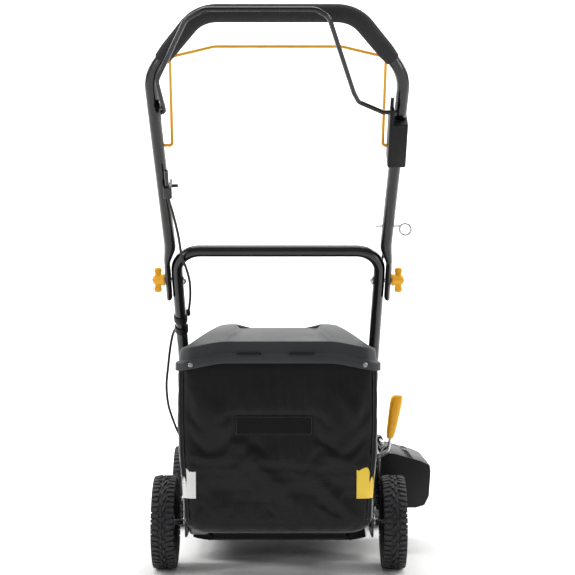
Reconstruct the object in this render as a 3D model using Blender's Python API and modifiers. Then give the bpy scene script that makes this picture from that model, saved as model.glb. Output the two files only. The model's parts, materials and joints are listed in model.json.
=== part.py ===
"""Walk-behind lawn dethatcher with a folding tube handle, a rear grass bag and a side chute.

Every length below is in millimetres, in the machine's own frame: +X is the machine's right, +Y the way it
travels, +Z up, with the ground at Z = 0 and the rear wheels' axle at Y = 0. The last step scales nothing: the
helpers turn millimetres into metres, and one empty at the top of the tree carries the machine so that the
middle of its base lies at the world's origin.
"""

import math

import bmesh
import bpy
from mathutils import Matrix, Quaternion, Vector

MM = 0.001
GAP = 0.3                    # what two touching pieces leave between them
RUNNING = 0.3                # radial clearance of a turning fit

# ---- wheels -------------------------------------------------------------------------------------------
WHEEL_RADIUS = 100.0
AXLE_Z = 100.0               # height of the wheels' axles on the chassis, at the middle of the height gear
TYRE_WIDTH = 50.0
RIM_RADIUS = 78.0            # the tyre's inner radius
TRACK_HALF = 244.0           # middle of a tyre from the machine's middle
WHEELBASE = 560.0
STUB_RADIUS = 6.0

# ---- deck ---------------------------------------------------------------------------------------------
DECK_HALF = 196.0
DECK_REAR = 85.0
DECK_FRONT = 590.0
DECK_LOW = 45.0
DECK_TOP = 190.0
DECK_CORNER = 60.0
SHEET = 3.0                  # wall of pressed or moulded sheet

# ---- height gear --------------------------------------------------------------------------------------
CRANK_REACH = 45.0           # crank pivot ahead of its wheel's axle
CRANK_RISE = 12.0            # and above it
CRANK_RADIUS = 7.0
PLATE_IN = DECK_HALF + GAP   # inner face of the side plates
PLATE_THICK = 4.0
ARM_THICK = 5.0
LINK_ARM = 30.0
LINK_RADIUS = 3.0

# ---- handle -------------------------------------------------------------------------------------------
PITCH = math.radians(50.0)   # the handle's slope, rising to the rear
BASE_Y = -30.0
BASE_Z = 220.0
TUBE = 11.0                  # radius of the handle tube
FOLD_AT = 520.0              # along the handle from its base
BAR_AT = 590.0               # the lower handle's cross bar
LEG_CLEAR = 1.3              # between the leg and the side plate it is bolted to
LEG_BASE = PLATE_IN - LEG_CLEAR - TUBE
LEG_FOLD = 190.0
TOP_AT = 1085.0              # the upper handle's top bar
SHOULDER_AT = 971.0
SHOULDER_HALF = 214.6
TOP_HALF = 127.0
FLAT_THICK = 12.0            # the flattened ends of the upper legs
FLAT_WIDE = 28.0
GRIP_RADIUS = 15.0
GRIP_FROM = 1000.0
BOLT = 4.0                   # radius of the fold bolts

# ---- bails --------------------------------------------------------------------------------------------
BRAKE_AT = 826.0             # the brake bail's pivot, on the tubes' own axis
BRAKE_ROD = 2.9
BRAKE_OPEN = math.radians(71.0)
DRIVE_AT = 907.0             # the drive bail's pivot
DRIVE_LIFT = 20.0            # and how far it stands off the handle's plane
DRIVE_ROD = 4.0
DRIVE_OPEN = math.radians(5.0)

# ---- engine and tool ----------------------------------------------------------------------------------
ENGINE_Y = 300.0
SHAFT = 13.0
SHROUD_RADIUS = 106.0
SHROUD_TOP = 430.0
TINE_BAR_HALF = 180.0
TINE_BAR_Z = 66.0
TINE_TIP_Z = 12.0
BELT_Z = 145.0
ENGINE_PULLEY = 30.0
GEARBOX_PULLEY = 22.0
GEARBOX_X = -170.0
DRIVE_SHAFT = 6.0
GEARBOX_Y = 12.0

# ---- bag, door, chute and shield ----------------------------------------------------------------------
BAG_FRONT = -34.0
BAG_REAR = -448.0
BAG_FRONT_HALF = LEG_BASE - TUBE - 5.0   # the bag stands between the handle's legs
BAG_REAR_HALF = 190.0
BAG_LOW = 148.0
LID_LOW = 455.0
LID_STEP = 484.0
LID_LIP = 508.0
LID_TOP = 531.0
MOUTH_HALF = 138.0
MOUTH_LOW = 150.0
MOUTH_HIGH = 318.0
DOOR_ROD_Y = -14.0
DOOR_ROD_Z = 338.0
DOOR_LENGTH = 195.0
CHUTE_REAR = 140.0
CHUTE_FRONT = 390.0
CHUTE_OUT = 340.0
CHUTE_HINGE_X = 240.0
CHUTE_HINGE_Z = 240.0
CHUTE_LOW = 108.0
SHIELD_HALF = 190.0
SHIELD_Y = 76.0
SHIELD_HINGE_Z = 112.0
SHIELD_LOW = 50.0


# ---- scene and materials ------------------------------------------------------------------------------
for old in list(bpy.data.objects):
    bpy.data.objects.remove(old, do_unlink=True)

PARTS = bpy.data.collections.new("lawn_dethatcher")
CUTTERS = bpy.data.collections.new("cutters")
bpy.context.scene.collection.children.link(PARTS)
bpy.context.scene.collection.children.link(CUTTERS)


def material(name, colour, roughness, metallic=0.0):
    """A plain Principled material with a linear colour."""
    made = bpy.data.materials.new(name)
    made.use_nodes = True
    shader = made.node_tree.nodes["Principled BSDF"]
    shader.inputs["Base Color"].default_value = (*colour, 1.0)
    shader.inputs["Roughness"].default_value = roughness
    shader.inputs["Metallic"].default_value = metallic
    return made


GLOSS_BLACK = material("powder_coat_black", (0.008, 0.008, 0.009), 0.25)
FOAM = material("foam_black", (0.015, 0.015, 0.016), 0.75)
YELLOW = material("moulded_yellow", (0.93, 0.42, 0.01), 0.4)
YELLOW_ROD = material("coated_rod_yellow", (0.72, 0.36, 0.01), 0.35)
PLASTIC = material("moulded_black", (0.02, 0.02, 0.022), 0.5)
LID_GREY = material("moulded_dark_grey", (0.055, 0.058, 0.062), 0.5)
MESH_FABRIC = material("woven_mesh_black", (0.012, 0.012, 0.012), 0.8)
TYRE = material("tyre_rubber", (0.025, 0.025, 0.027), 0.75)
ZINC = material("zinc_plate", (0.6, 0.6, 0.6), 0.3, 1.0)
CAST = material("cast_aluminium", (0.42, 0.42, 0.42), 0.5, 1.0)
STEEL = material("tool_steel", (0.3, 0.3, 0.3), 0.4, 1.0)
RUBBER = material("belt_rubber", (0.02, 0.02, 0.02), 0.7)
CABLE = material("cable_sheath", (0.012, 0.012, 0.012), 0.45)


# ---- bodies: one empty on each joint's axis --------------------------------------------------------------
def handle_frame():
    """Matrix from handle coordinates (across, along, towards the operator) to the machine's frame."""
    c, s = math.cos(PITCH), math.sin(PITCH)
    return Matrix(((1, 0, 0, 0), (0, -c, -s, BASE_Y), (0, s, -c, BASE_Z), (0, 0, 0, 1)))


HANDLE = handle_frame()


def on_handle(across, along, out=0.0):
    """A point on the handle, in the machine's frame."""
    return HANDLE @ Vector((across, along, out))


REAR_PIVOT = Vector((0, CRANK_REACH, AXLE_Z + CRANK_RISE))
FRONT_PIVOT = Vector((0, WHEELBASE + CRANK_REACH, AXLE_Z + CRANK_RISE))
SIDES = {"left": -1, "right": 1}
AXLES = {"rear": 0.0, "front": WHEELBASE}
PIVOTS = {
    "chassis": Vector((0, 0, 0)),
    "upper_handle": on_handle(0, FOLD_AT),
    "knob_left": on_handle(0, FOLD_AT),
    "knob_right": on_handle(0, FOLD_AT),
    "brake_bail": on_handle(0, BRAKE_AT),
    "drive_bail": on_handle(0, DRIVE_AT, DRIVE_LIFT),
    "rear_cranks": REAR_PIVOT,
    "front_cranks": FRONT_PIVOT,
    "link_rod": Vector((0, CRANK_REACH, REAR_PIVOT.z + LINK_ARM)),
    "drive_shaft": Vector((0, 0, AXLE_Z)),
    "gearbox_pulley": Vector((GEARBOX_X, GEARBOX_Y, BELT_Z)),
    "grass_bag": Vector((0, BAG_FRONT, DOOR_ROD_Z)),
    "rear_door": Vector((0, DOOR_ROD_Y, DOOR_ROD_Z)),
    "side_chute": Vector((CHUTE_HINGE_X, CHUTE_REAR, CHUTE_HINGE_Z)),
    "trail_shield": Vector((0, SHIELD_Y, SHIELD_HINGE_Z)),
    "tool": Vector((0, ENGINE_Y, 0)),
    "fuel_cap": Vector((-50, 150, 300)),
    "oil_cap": Vector((-122, 270, 225)),
}
for _end, _y in AXLES.items():
    for _side, _sign in SIDES.items():
        PIVOTS[f"wheel_{_end}_{_side}"] = Vector((_sign * TRACK_HALF, _y, AXLE_Z))

MACHINE = bpy.data.objects.new("machine", None)
PARTS.objects.link(MACHINE)
EMPTIES = {}
for _name, _place in PIVOTS.items():
    _empty = bpy.data.objects.new(f"body_{_name}", None)
    PARTS.objects.link(_empty)
    _empty.parent = MACHINE
    _empty.location = _place * MM
    EMPTIES[_name] = _empty


# ---- shapes -----------------------------------------------------------------------------------------------
def mesh_object(name, bm):
    """The bmesh, drawn in millimetres, as a loose object in metres."""
    bmesh.ops.recalc_face_normals(bm, faces=bm.faces)
    middle = sum((v.co for v in bm.verts), Vector()) / len(bm.verts)
    facing = sum(f.normal.dot(f.calc_center_median() - middle) * f.calc_area() for f in bm.faces)
    if facing < 0:
        bmesh.ops.reverse_faces(bm, faces=bm.faces)
    bmesh.ops.scale(bm, vec=(MM, MM, MM), verts=bm.verts)
    mesh = bpy.data.meshes.new(name)
    bm.to_mesh(mesh)
    bm.free()
    mesh.shade_smooth()
    mesh.set_sharp_from_angle(angle=math.radians(35))
    made = bpy.data.objects.new(name, mesh)
    CUTTERS.objects.link(made)
    return made


def box(low, high, fillet=0.0, frame=None):
    """A block between two corners, its edges rounded by fillet, turned into a frame."""
    low, high = Vector(low), Vector(high)
    bm = bmesh.new()
    bmesh.ops.create_cube(bm, size=1)
    bmesh.ops.scale(bm, vec=high - low, verts=bm.verts)
    bmesh.ops.translate(bm, vec=(high + low) / 2, verts=bm.verts)
    if fillet:
        bmesh.ops.bevel(bm, geom=bm.edges[:], offset=fillet, segments=2, profile=0.5, affect="EDGES")
    if frame:
        bmesh.ops.transform(bm, matrix=frame, verts=bm.verts)
    return mesh_object("box", bm)


def cylinder(start, end, radius, sides=20, end_radius=None, frame=None):
    """A round bar or cone from one point to another, turned into a frame."""
    start, end = Vector(start), Vector(end)
    axis = end - start
    bm = bmesh.new()
    bmesh.ops.create_cone(
        bm, cap_ends=True, segments=sides, radius1=radius,
        radius2=radius if end_radius is None else end_radius, depth=axis.length,
    )
    turn = Vector((0, 0, 1)).rotation_difference(axis).to_matrix().to_4x4()
    bmesh.ops.transform(bm, matrix=Matrix.Translation((start + end) / 2) @ turn, verts=bm.verts)
    if frame:
        bmesh.ops.transform(bm, matrix=frame, verts=bm.verts)
    return mesh_object("cylinder", bm)


def rounded(points, radii, step=15.0):
    """The line through the points, each inner corner replaced by an arc of its radius."""
    points = [Vector(p) for p in points]
    line = [points[0]]
    for before, corner, after, radius in zip(points, points[1:], points[2:], radii):
        back, on = (before - corner).normalized(), (after - corner).normalized()
        opening = back.angle(on)
        if radius <= 0 or math.pi - opening < 1e-4:
            line.append(corner)
            continue
        centre = corner + (back + on).normalized() * radius / math.sin(opening / 2)
        first = corner + back * radius / math.tan(opening / 2) - centre
        last = corner + on * radius / math.tan(opening / 2) - centre
        axis = first.cross(last)
        turns = max(2, math.ceil(math.degrees(math.pi - opening) / step))
        for k in range(turns + 1):
            turn = Quaternion(axis, (math.pi - opening) * k / turns)
            line.append(centre + turn @ first)
    return line + [points[-1]]


def smooth_route(points, spacing):
    """A smooth curve through the points, read at even steps of about the spacing."""
    points = [Vector(p) for p in points]
    ends = [points[0] * 2 - points[1]] + points + [points[-1] * 2 - points[-2]]
    fine = [points[0]]
    for a, b, c, d in zip(ends, ends[1:], ends[2:], ends[3:]):
        for k in range(1, 17):
            t = k / 16
            fine.append((b * 2 + (c - a) * t + (a * 2 - b * 5 + c * 4 - d) * t * t
                         + (b * 3 - a - c * 3 + d) * t ** 3) / 2)
    lengths = [0.0]
    for p, q in zip(fine, fine[1:]):
        lengths.append(lengths[-1] + (q - p).length)
    count = max(2, round(lengths[-1] / spacing))
    line, at = [], 0
    for k in range(count + 1):
        want = lengths[-1] * k / count
        while at < len(fine) - 2 and lengths[at + 1] < want:
            at += 1
        span = lengths[at + 1] - lengths[at]
        line.append(fine[at].lerp(fine[at + 1], (want - lengths[at]) / span))
    return line


def rod(points, radius, sides=8, cyclic=False):
    """A bent round bar as a curve with filled ends."""
    data = bpy.data.curves.new("rod", "CURVE")
    data.dimensions = "3D"
    data.bevel_depth = radius * MM
    data.bevel_resolution = (sides - 4) // 2
    data.use_fill_caps = True
    spline = data.splines.new("POLY")
    spline.points.add(len(points) - 1)
    for point, place in zip(spline.points, points):
        point.co = (*(Vector(place) * MM), 1.0)
    spline.use_cyclic_u = cyclic
    made = bpy.data.objects.new("rod", data)
    CUTTERS.objects.link(made)
    return made


def plate(outline, thickness, frame):
    """A flat outline with holes, extruded both ways from the frame's XY plane; outline[1:] are holes."""
    data = bpy.data.curves.new("plate", "CURVE")
    data.dimensions = "2D"
    data.fill_mode = "BOTH"
    data.extrude = thickness / 2 * MM
    for loop in outline:
        spline = data.splines.new("POLY")
        spline.points.add(len(loop) - 1)
        for point, place in zip(spline.points, loop):
            point.co = (place[0] * MM, place[1] * MM, 0.0, 1.0)
        spline.use_cyclic_u = True
    made = bpy.data.objects.new("plate", data)
    CUTTERS.objects.link(made)
    placed = frame.copy()
    placed.translation = frame.translation * MM
    made.matrix_world = placed
    return as_mesh(made)


def as_mesh(curve):
    """The curve's evaluated shape as a closed mesh in world space; the curve is removed."""
    bpy.context.view_layer.update()
    deps = bpy.context.evaluated_depsgraph_get()
    mesh = bpy.data.meshes.new_from_object(curve.evaluated_get(deps))
    mesh.transform(curve.matrix_world)
    bm = bmesh.new()
    bm.from_mesh(mesh)
    bmesh.ops.remove_doubles(bm, verts=bm.verts, dist=1e-6)
    bmesh.ops.recalc_face_normals(bm, faces=bm.faces)
    bm.to_mesh(mesh)
    bm.free()
    mesh.shade_smooth()
    mesh.set_sharp_from_angle(angle=math.radians(35))
    made = bpy.data.objects.new("solid", mesh)
    CUTTERS.objects.link(made)
    bpy.data.objects.remove(curve, do_unlink=True)
    return made


def turned(profile, place, towards=(0, 0, 1), steps=24):
    """A closed profile of (radius, height) turned about an axis; its outer side runs from top to bottom."""
    mesh = bpy.data.meshes.new("turned")
    on_axis = profile[0][0] == 0 and profile[-1][0] == 0
    edges = [(k, k + 1) for k in range(len(profile) - 1)]
    if not on_axis:
        edges.append((len(profile) - 1, 0))
    mesh.from_pydata([(r * MM, 0, z * MM) for r, z in profile], edges, [])
    made = bpy.data.objects.new("turned", mesh)
    CUTTERS.objects.link(made)
    screw = made.modifiers.new("turn", "SCREW")
    screw.axis = "Z"
    screw.steps = steps
    screw.render_steps = steps
    screw.use_merge_vertices = True
    screw.merge_threshold = 1e-6
    made.rotation_mode = "QUATERNION"
    made.rotation_quaternion = Vector((0, 0, 1)).rotation_difference(Vector(towards))
    made.location = Vector(place) * MM
    return made


def loft(rings):
    """A closed skin through rings of equal count; each ring is a list of points."""
    bm = bmesh.new()
    rows = [[bm.verts.new(p) for p in ring] for ring in rings]
    for low, high in zip(rows, rows[1:]):
        for k in range(len(low)):
            j = (k + 1) % len(low)
            bm.faces.new((low[k], low[j], high[j], high[k]))
    bm.faces.new(rows[0][::-1])
    bm.faces.new(rows[-1])
    return mesh_object("loft", bm)


def shell(outer, inner, through=False):
    """A wall between two sets of rings: a cup closed at its last rings, or a duct open at both ends."""
    bm = bmesh.new()
    rows = [[bm.verts.new(p) for p in ring] for ring in outer]
    back = [[bm.verts.new(p) for p in ring] for ring in inner[::-1]]
    chains = [rows + back + [rows[0]]] if through else [back[-1:] + rows, back]
    for chain in chains:
        for low, high in zip(chain, chain[1:]):
            for k in range(len(low)):
                j = (k + 1) % len(low)
                bm.faces.new((low[k], low[j], high[j], high[k]))
    if not through:
        bm.faces.new(rows[-1])
        bm.faces.new(back[0][::-1])
    return mesh_object("shell", bm)


def sweep(path, sizes, frame, bore=0.0, sides=12):
    """A bar along a flat path of (x, y): its section is an ellipse of (in-plane, off-plane) half sizes."""
    rings, inner = [], []
    for k, (here, size) in enumerate(zip(path, sizes)):
        ahead = path[min(k + 1, len(path) - 1)] - path[max(k - 1, 0)]
        inward = Vector((-ahead.y, ahead.x)).normalized()
        for row, half in ((rings, size), (inner, (bore, bore))):
            row.append([
                Vector((
                    here.x + inward.x * half[0] * math.cos(a),
                    here.y + inward.y * half[0] * math.cos(a),
                    half[1] * math.sin(a),
                ))
                for a in (2 * math.pi * n / sides for n in range(sides))
            ])
    bm = bmesh.new()
    rows = [[bm.verts.new(frame @ p) for p in ring] for ring in rings]
    if bore:
        rows += [[bm.verts.new(frame @ p) for p in ring] for ring in inner[::-1]]
        rows.append(rows[0])
    for low, high in zip(rows, rows[1:]):
        for n in range(sides):
            m = (n + 1) % sides
            bm.faces.new((low[n], low[m], high[m], high[n]))
    if not bore:
        bm.faces.new(rows[0][::-1])
        bm.faces.new(rows[-1])
    return mesh_object("sweep", bm)


def hide_tool(tool):
    """A guide is hidden, and it moves with the machine as its target does."""
    tool.hide_render = True
    tool.parent = MACHINE
    tool.display_type = "WIRE"


def change(target, tool, how):
    """Boolean the tool into the target; the tool stays as a hidden guide."""
    step = target.modifiers.new(how.lower(), "BOOLEAN")
    step.operation = how
    step.solver = "EXACT"
    step.object = tool
    hide_tool(tool)
    return target


def cut(target, *tools):
    for tool in tools:
        change(target, tool, "DIFFERENCE")
    return target


def join(target, *tools):
    for tool in tools:
        change(target, tool, "UNION")
    return target


def part(made, name, finish, body):
    """Name the piece, give it its material and hang it on its body's empty."""
    made.name = name
    made.data.name = name
    made.data.materials.clear()
    made.data.materials.append(finish)
    CUTTERS.objects.unlink(made)
    PARTS.objects.link(made)
    made.parent = EMPTIES[body]
    made.location = made.location - PIVOTS[body] * MM
    return made


def circle(cx, cy, radius, sides=20):
    return [(cx + radius * math.cos(2 * math.pi * k / sides),
             cy + radius * math.sin(2 * math.pi * k / sides)) for k in range(sides)]


def rounded_loop(corners, radius, steps=4):
    """A closed outline of (x, y) with every corner rounded; corners run anticlockwise."""
    loop = []
    count = len(corners)
    for k in range(count):
        corner = Vector(corners[k])
        back = (Vector(corners[k - 1]) - corner).normalized()
        on = (Vector(corners[(k + 1) % count]) - corner).normalized()
        opening = back.angle(on)
        centre = corner + (back + on).normalized() * radius / math.sin(opening / 2)
        first = corner + back * radius / math.tan(opening / 2) - centre
        last = corner + on * radius / math.tan(opening / 2) - centre
        sweep_angle = math.pi - opening
        way = 1 if first.x * last.y - first.y * last.x > 0 else -1
        for n in range(steps + 1):
            a = way * sweep_angle * n / steps
            loop.append((centre.x + first.x * math.cos(a) - first.y * math.sin(a),
                         centre.y + first.x * math.sin(a) + first.y * math.cos(a)))
    return loop


def side_frame(x):
    """A frame whose XY plane is the machine's YZ plane at this X."""
    return Matrix(((0, 0, 1, x), (1, 0, 0, 0), (0, 1, 0, 0), (0, 0, 0, 1)))


def end_frame(y):
    """A frame whose XY plane is the machine's XZ plane at this Y."""
    return Matrix(((1, 0, 0, 0), (0, 0, -1, y), (0, 1, 0, 0), (0, 0, 0, 1)))


# ---- wheels and height gear -------------------------------------------------------------------------------
def make_wheels():
    """Four wheels: a rubber tyre on a moulded rim with a bored hub."""
    half = TYRE_WIDTH / 2
    tyre = [
        (RIM_RADIUS, half - 6), (WHEEL_RADIUS - 8, half), (WHEEL_RADIUS - 3, half - 1),
        (WHEEL_RADIUS, half - 6), (WHEEL_RADIUS, 6 - half), (WHEEL_RADIUS - 3, 1 - half),
        (WHEEL_RADIUS - 8, -half), (RIM_RADIUS, 6 - half),
    ]
    seat = RIM_RADIUS - GAP
    rim = [
        (seat, half - 6), (seat, 6 - half), (seat - 6, 6 - half), (seat - 6, -4), (20, -4), (16, -18),
        (STUB_RADIUS + RUNNING, -18), (STUB_RADIUS + RUNNING, 14), (16, 14), (20, 8), (seat - 6, 8),
        (seat - 5, half - 6),
    ]
    for end, y in AXLES.items():
        for side, sign in SIDES.items():
            place = (sign * TRACK_HALF, y, AXLE_Z)
            body = f"wheel_{end}_{side}"
            part(turned(tyre, place, (sign, 0, 0)), f"tyre_{end}_{side}", TYRE, body)
            part(turned(rim, place, (sign, 0, 0)), f"rim_{end}_{side}", PLASTIC, body)


def arm_outline(a, b, wide):
    """A link with round ends between two points of a side view."""
    a, b = Vector(a), Vector(b)
    heading = math.atan2(b.y - a.y, b.x - a.x)
    loop = []
    for centre, start in ((a, heading + math.pi / 2), (b, heading - math.pi / 2)):
        for k in range(7):
            turn = start + math.pi * k / 6
            loop.append((centre.x + wide * math.cos(turn), centre.y + wide * math.sin(turn)))
    return loop


ARM_IN = PLATE_IN + PLATE_THICK + 2.0
LINK_X = -(ARM_IN + ARM_THICK + 2.0 + LINK_RADIUS)


def make_cranks():
    """Each crank axle: a bar across the machine, an arm and a stub for each wheel, and the link's arm."""
    for end, y in AXLES.items():
        pivot = REAR_PIVOT if end == "rear" else FRONT_PIVOT
        reach = ARM_IN + ARM_THICK + 4
        axle = cylinder((-reach, pivot.y, pivot.z), (reach, pivot.y, pivot.z), CRANK_RADIUS)
        for sign in SIDES.values():
            middle = sign * (ARM_IN + ARM_THICK / 2)
            arm = arm_outline((pivot.y, pivot.z), (y, AXLE_Z), 11)
            join(axle, plate([arm], ARM_THICK, side_frame(middle)))
            hub_end = sign * (TRACK_HALF + 14 + 0.5)
            join(axle, cylinder((middle, y, AXLE_Z), (hub_end, y, AXLE_Z), STUB_RADIUS))
            nut = (hub_end + sign * 6, y, AXLE_Z)
            join(axle, cylinder((hub_end - sign * 0.2, y, AXLE_Z), nut, 9, sides=6))
        lift = arm_outline((pivot.y, pivot.z), (pivot.y, pivot.z + LINK_ARM), 8)
        join(axle, plate([lift], ARM_THICK - 0.6, side_frame(-(ARM_IN + ARM_THICK / 2))))
        part(axle, f"{end}_crank_axle", ZINC, f"{end}_cranks")
    height = REAR_PIVOT.z + LINK_ARM
    link = cylinder((LINK_X, REAR_PIVOT.y - 8, height), (LINK_X, FRONT_PIVOT.y + 8, height), LINK_RADIUS, 12)
    part(link, "link_rod", ZINC, "link_rod")


def make_lever():
    """The height lever: a cranked rod clamped on the rear axle, with a moulded grip."""
    x = ARM_IN + ARM_THICK + 1.5 + 3.5
    hub = cylinder((x - 3.5, REAR_PIVOT.y, REAR_PIVOT.z), (x + 3.5, REAR_PIVOT.y, REAR_PIVOT.z), 14)
    line = rounded(
        [(x, 38, 122), (x, -34, 245), (232, -39, 259), (236, -42, 290), (240, -45, 320)], (20, 9, 8)
    )
    stem = as_mesh(rod(line, 3.5))
    join(hub, stem)
    cut(hub, cylinder((x - 9, REAR_PIVOT.y, REAR_PIVOT.z), (x + 9, REAR_PIVOT.y, REAR_PIVOT.z),
                      CRANK_RADIUS + GAP))
    part(hub, "height_lever", ZINC, "rear_cranks")
    rings = []
    for t, wide, deep in ((0, 7, 6), (0.1, 9, 8), (0.35, 10, 9), (0.75, 13, 10), (0.93, 13, 10), (1, 9, 7)):
        middle = Vector((235, -41.5, 284)).lerp(Vector((250, -50, 377)), t)
        rings.append([
            (middle.x + wide * math.cos(a), middle.y + deep * math.sin(a), middle.z)
            for a in (2 * math.pi * (n + 0.5) / 12 for n in range(12))
        ])
    grip = loft(rings)
    cut(grip, as_mesh(rod(line, 3.5 + GAP)))
    part(grip, "lever_grip", YELLOW, "rear_cranks")


def make_side_plates():
    """Steel plates bolted to the deck's sides: the rear pair also carries the handle."""
    for side, sign in SIDES.items():
        x = sign * (PLATE_IN + PLATE_THICK / 2)
        outline = [(-38, 72), (150, 72), (150, 150), (60, 186), (8, 262), (-44, 262), (-62, 236), (-48, 150)]
        rear = [
            rounded_loop(outline, 8, 2),
            circle(REAR_PIVOT.y, REAR_PIVOT.z, CRANK_RADIUS + RUNNING),
            circle(0, AXLE_Z, STUB_RADIUS + 18)[::-1],
        ]
        part(plate(rear, PLATE_THICK, side_frame(x)), f"rear_plate_{side}", GLOSS_BLACK, "chassis")
        rear_edge, front_edge = DECK_FRONT - 90.0, FRONT_PIVOT.y + 17
        outline = [(rear_edge, 72), (front_edge, 80), (front_edge, 140), (rear_edge, 150)]
        front = [rounded_loop(outline, 8, 2),
                 circle(FRONT_PIVOT.y, FRONT_PIVOT.z, CRANK_RADIUS + RUNNING)[::-1]]
        part(plate(front, PLATE_THICK, side_frame(x)), f"front_plate_{side}", GLOSS_BLACK, "chassis")


# ---- deck, tunnel and drive -------------------------------------------------------------------------------
def deck_ring(z, inset):
    corners = [
        (-DECK_HALF + inset, DECK_REAR + inset), (DECK_HALF - inset, DECK_REAR + inset),
        (DECK_HALF - inset, DECK_FRONT - inset), (-DECK_HALF + inset, DECK_FRONT - inset),
    ]
    return [(x, y, z) for x, y in rounded_loop(corners, DECK_CORNER - inset / 2, 5)]


TUNNEL_LEFT = -78.0
TUNNEL_RIGHT = 115.0
TUNNEL_LOW = 122.0


def make_deck():
    """The pressed deck: open below, with ways out to the rear tunnel and to the side chute."""
    steps = ((DECK_LOW, 0), (DECK_TOP - 32, 0), (DECK_TOP - 9, 8), (DECK_TOP, 24))
    deck = shell(
        [deck_ring(z, inset) for z, inset in steps],
        [deck_ring(z - (SHEET if z > DECK_LOW else 0), inset + SHEET) for z, inset in steps],
    )
    cut(
        deck,
        cylinder((0, ENGINE_Y, DECK_TOP - 20), (0, ENGINE_Y, DECK_TOP + 20), SHAFT + 12),
        box((TUNNEL_LEFT + SHEET, DECK_REAR - 15, TUNNEL_LOW + SHEET), (TUNNEL_RIGHT - SHEET, DECK_REAR + 15, 179)),
        box((DECK_HALF - 20, 165, 62), (DECK_HALF + 15, 375, 140)),
        box((-166, DECK_REAR - 15, BELT_Z - 9), (-84, DECK_REAR + 15, BELT_Z + 9)),
    )
    part(deck, "deck_shell", GLOSS_BLACK, "chassis")


def make_tunnel():
    """The duct that carries thatch from the deck up to the bag's mouth, with ears for the door's rod."""
    front, rear = DECK_REAR - GAP, -12.0
    rings = {0.0: [], SHEET: []}
    for y, left, right, low, high in (
        (front, TUNNEL_LEFT, TUNNEL_RIGHT, TUNNEL_LOW, 182.0),
        (front - 30, TUNNEL_LEFT - 18, TUNNEL_RIGHT + 8, TUNNEL_LOW + 2, 236.0),
        (rear + 12, -142.0, 142.0, 129.0, 322.0),
        (rear, -142.0, 142.0, 130.0, 326.0),
    ):
        for inset, row in rings.items():
            corners = [(left + inset, low + inset), (right - inset, low + inset),
                       (right - inset, high - inset), (left + inset, high - inset)]
            row.append([(x, y, z) for x, z in rounded_loop(corners, 12 - inset, 2)])
    duct = shell(rings[0.0], rings[SHEET], through=True)
    for sign in SIDES.values():
        ear = rounded_loop([(-21, 318), (10, 300), (10, 346), (-21, 346)], 4, 2)
        hole = circle(DOOR_ROD_Y, DOOR_ROD_Z, 3 + GAP, 12)[::-1]
        join(duct, plate([ear, hole], 4, side_frame(sign * 142.3)))
    part(duct, "rear_tunnel", GLOSS_BLACK, "chassis")
    bar = cylinder((-149, DOOR_ROD_Y, DOOR_ROD_Z), (149, DOOR_ROD_Y, DOOR_ROD_Z), 3, 12)
    part(bar, "door_rod", ZINC, "chassis")


def make_door():
    """The rear door, held up along the bag's front while the bag is on."""
    half = MOUTH_HALF
    frame = Matrix.Translation((0, DOOR_ROD_Y, DOOR_ROD_Z)) @ HANDLE.to_3x3().to_4x4()
    leaf = box((-half, 10, -2), (half, DOOR_LENGTH, 2), 1.5, frame)
    for sign in SIDES.values():
        near, far = sorted((sign * 91, sign * (half - 1)))
        join(leaf, cylinder((sign * 90, 0, 0), (sign * half, 0, 0), 7, 16, frame=frame))
        join(leaf, box((near, 0, -1.7), (far, 16, 1.7), 0, frame))
    for x in (-70, 0, 70):
        join(leaf, box((x - 3, 20, -5), (x + 3, DOOR_LENGTH - 12, -1), 0, frame))
    cut(leaf, cylinder((-half - 5, 0, 0), (half + 5, 0, 0), 3 + RUNNING, 16, frame=frame))
    part(leaf, "rear_door", PLASTIC, "rear_door")


def make_shield():
    """The trail shield: a flap with pointed lower ends, hanging from two pins behind the deck."""
    half = SHIELD_HALF
    low, top = SHIELD_LOW, SHIELD_HINGE_Z
    outline = [(-half, low + 4), (-half + 24, low), (half - 24, low), (half, low + 4), (half - 7, top - 1),
               (7 - half, top - 1)]
    flap = loft([[(x, SHIELD_Y + side, z) for x, z in outline] for side in (-2, 2)])
    join(flap, cylinder((-half, SHIELD_Y, top), (half, SHIELD_Y, top), 4.5, 14))
    for x in (-150, 150):
        cut(flap, cylinder((x, SHIELD_Y - 6, low + 9), (x, SHIELD_Y + 6, low + 9), 3, 10))
    part(flap, "trail_shield", PLASTIC, "trail_shield")


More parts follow.
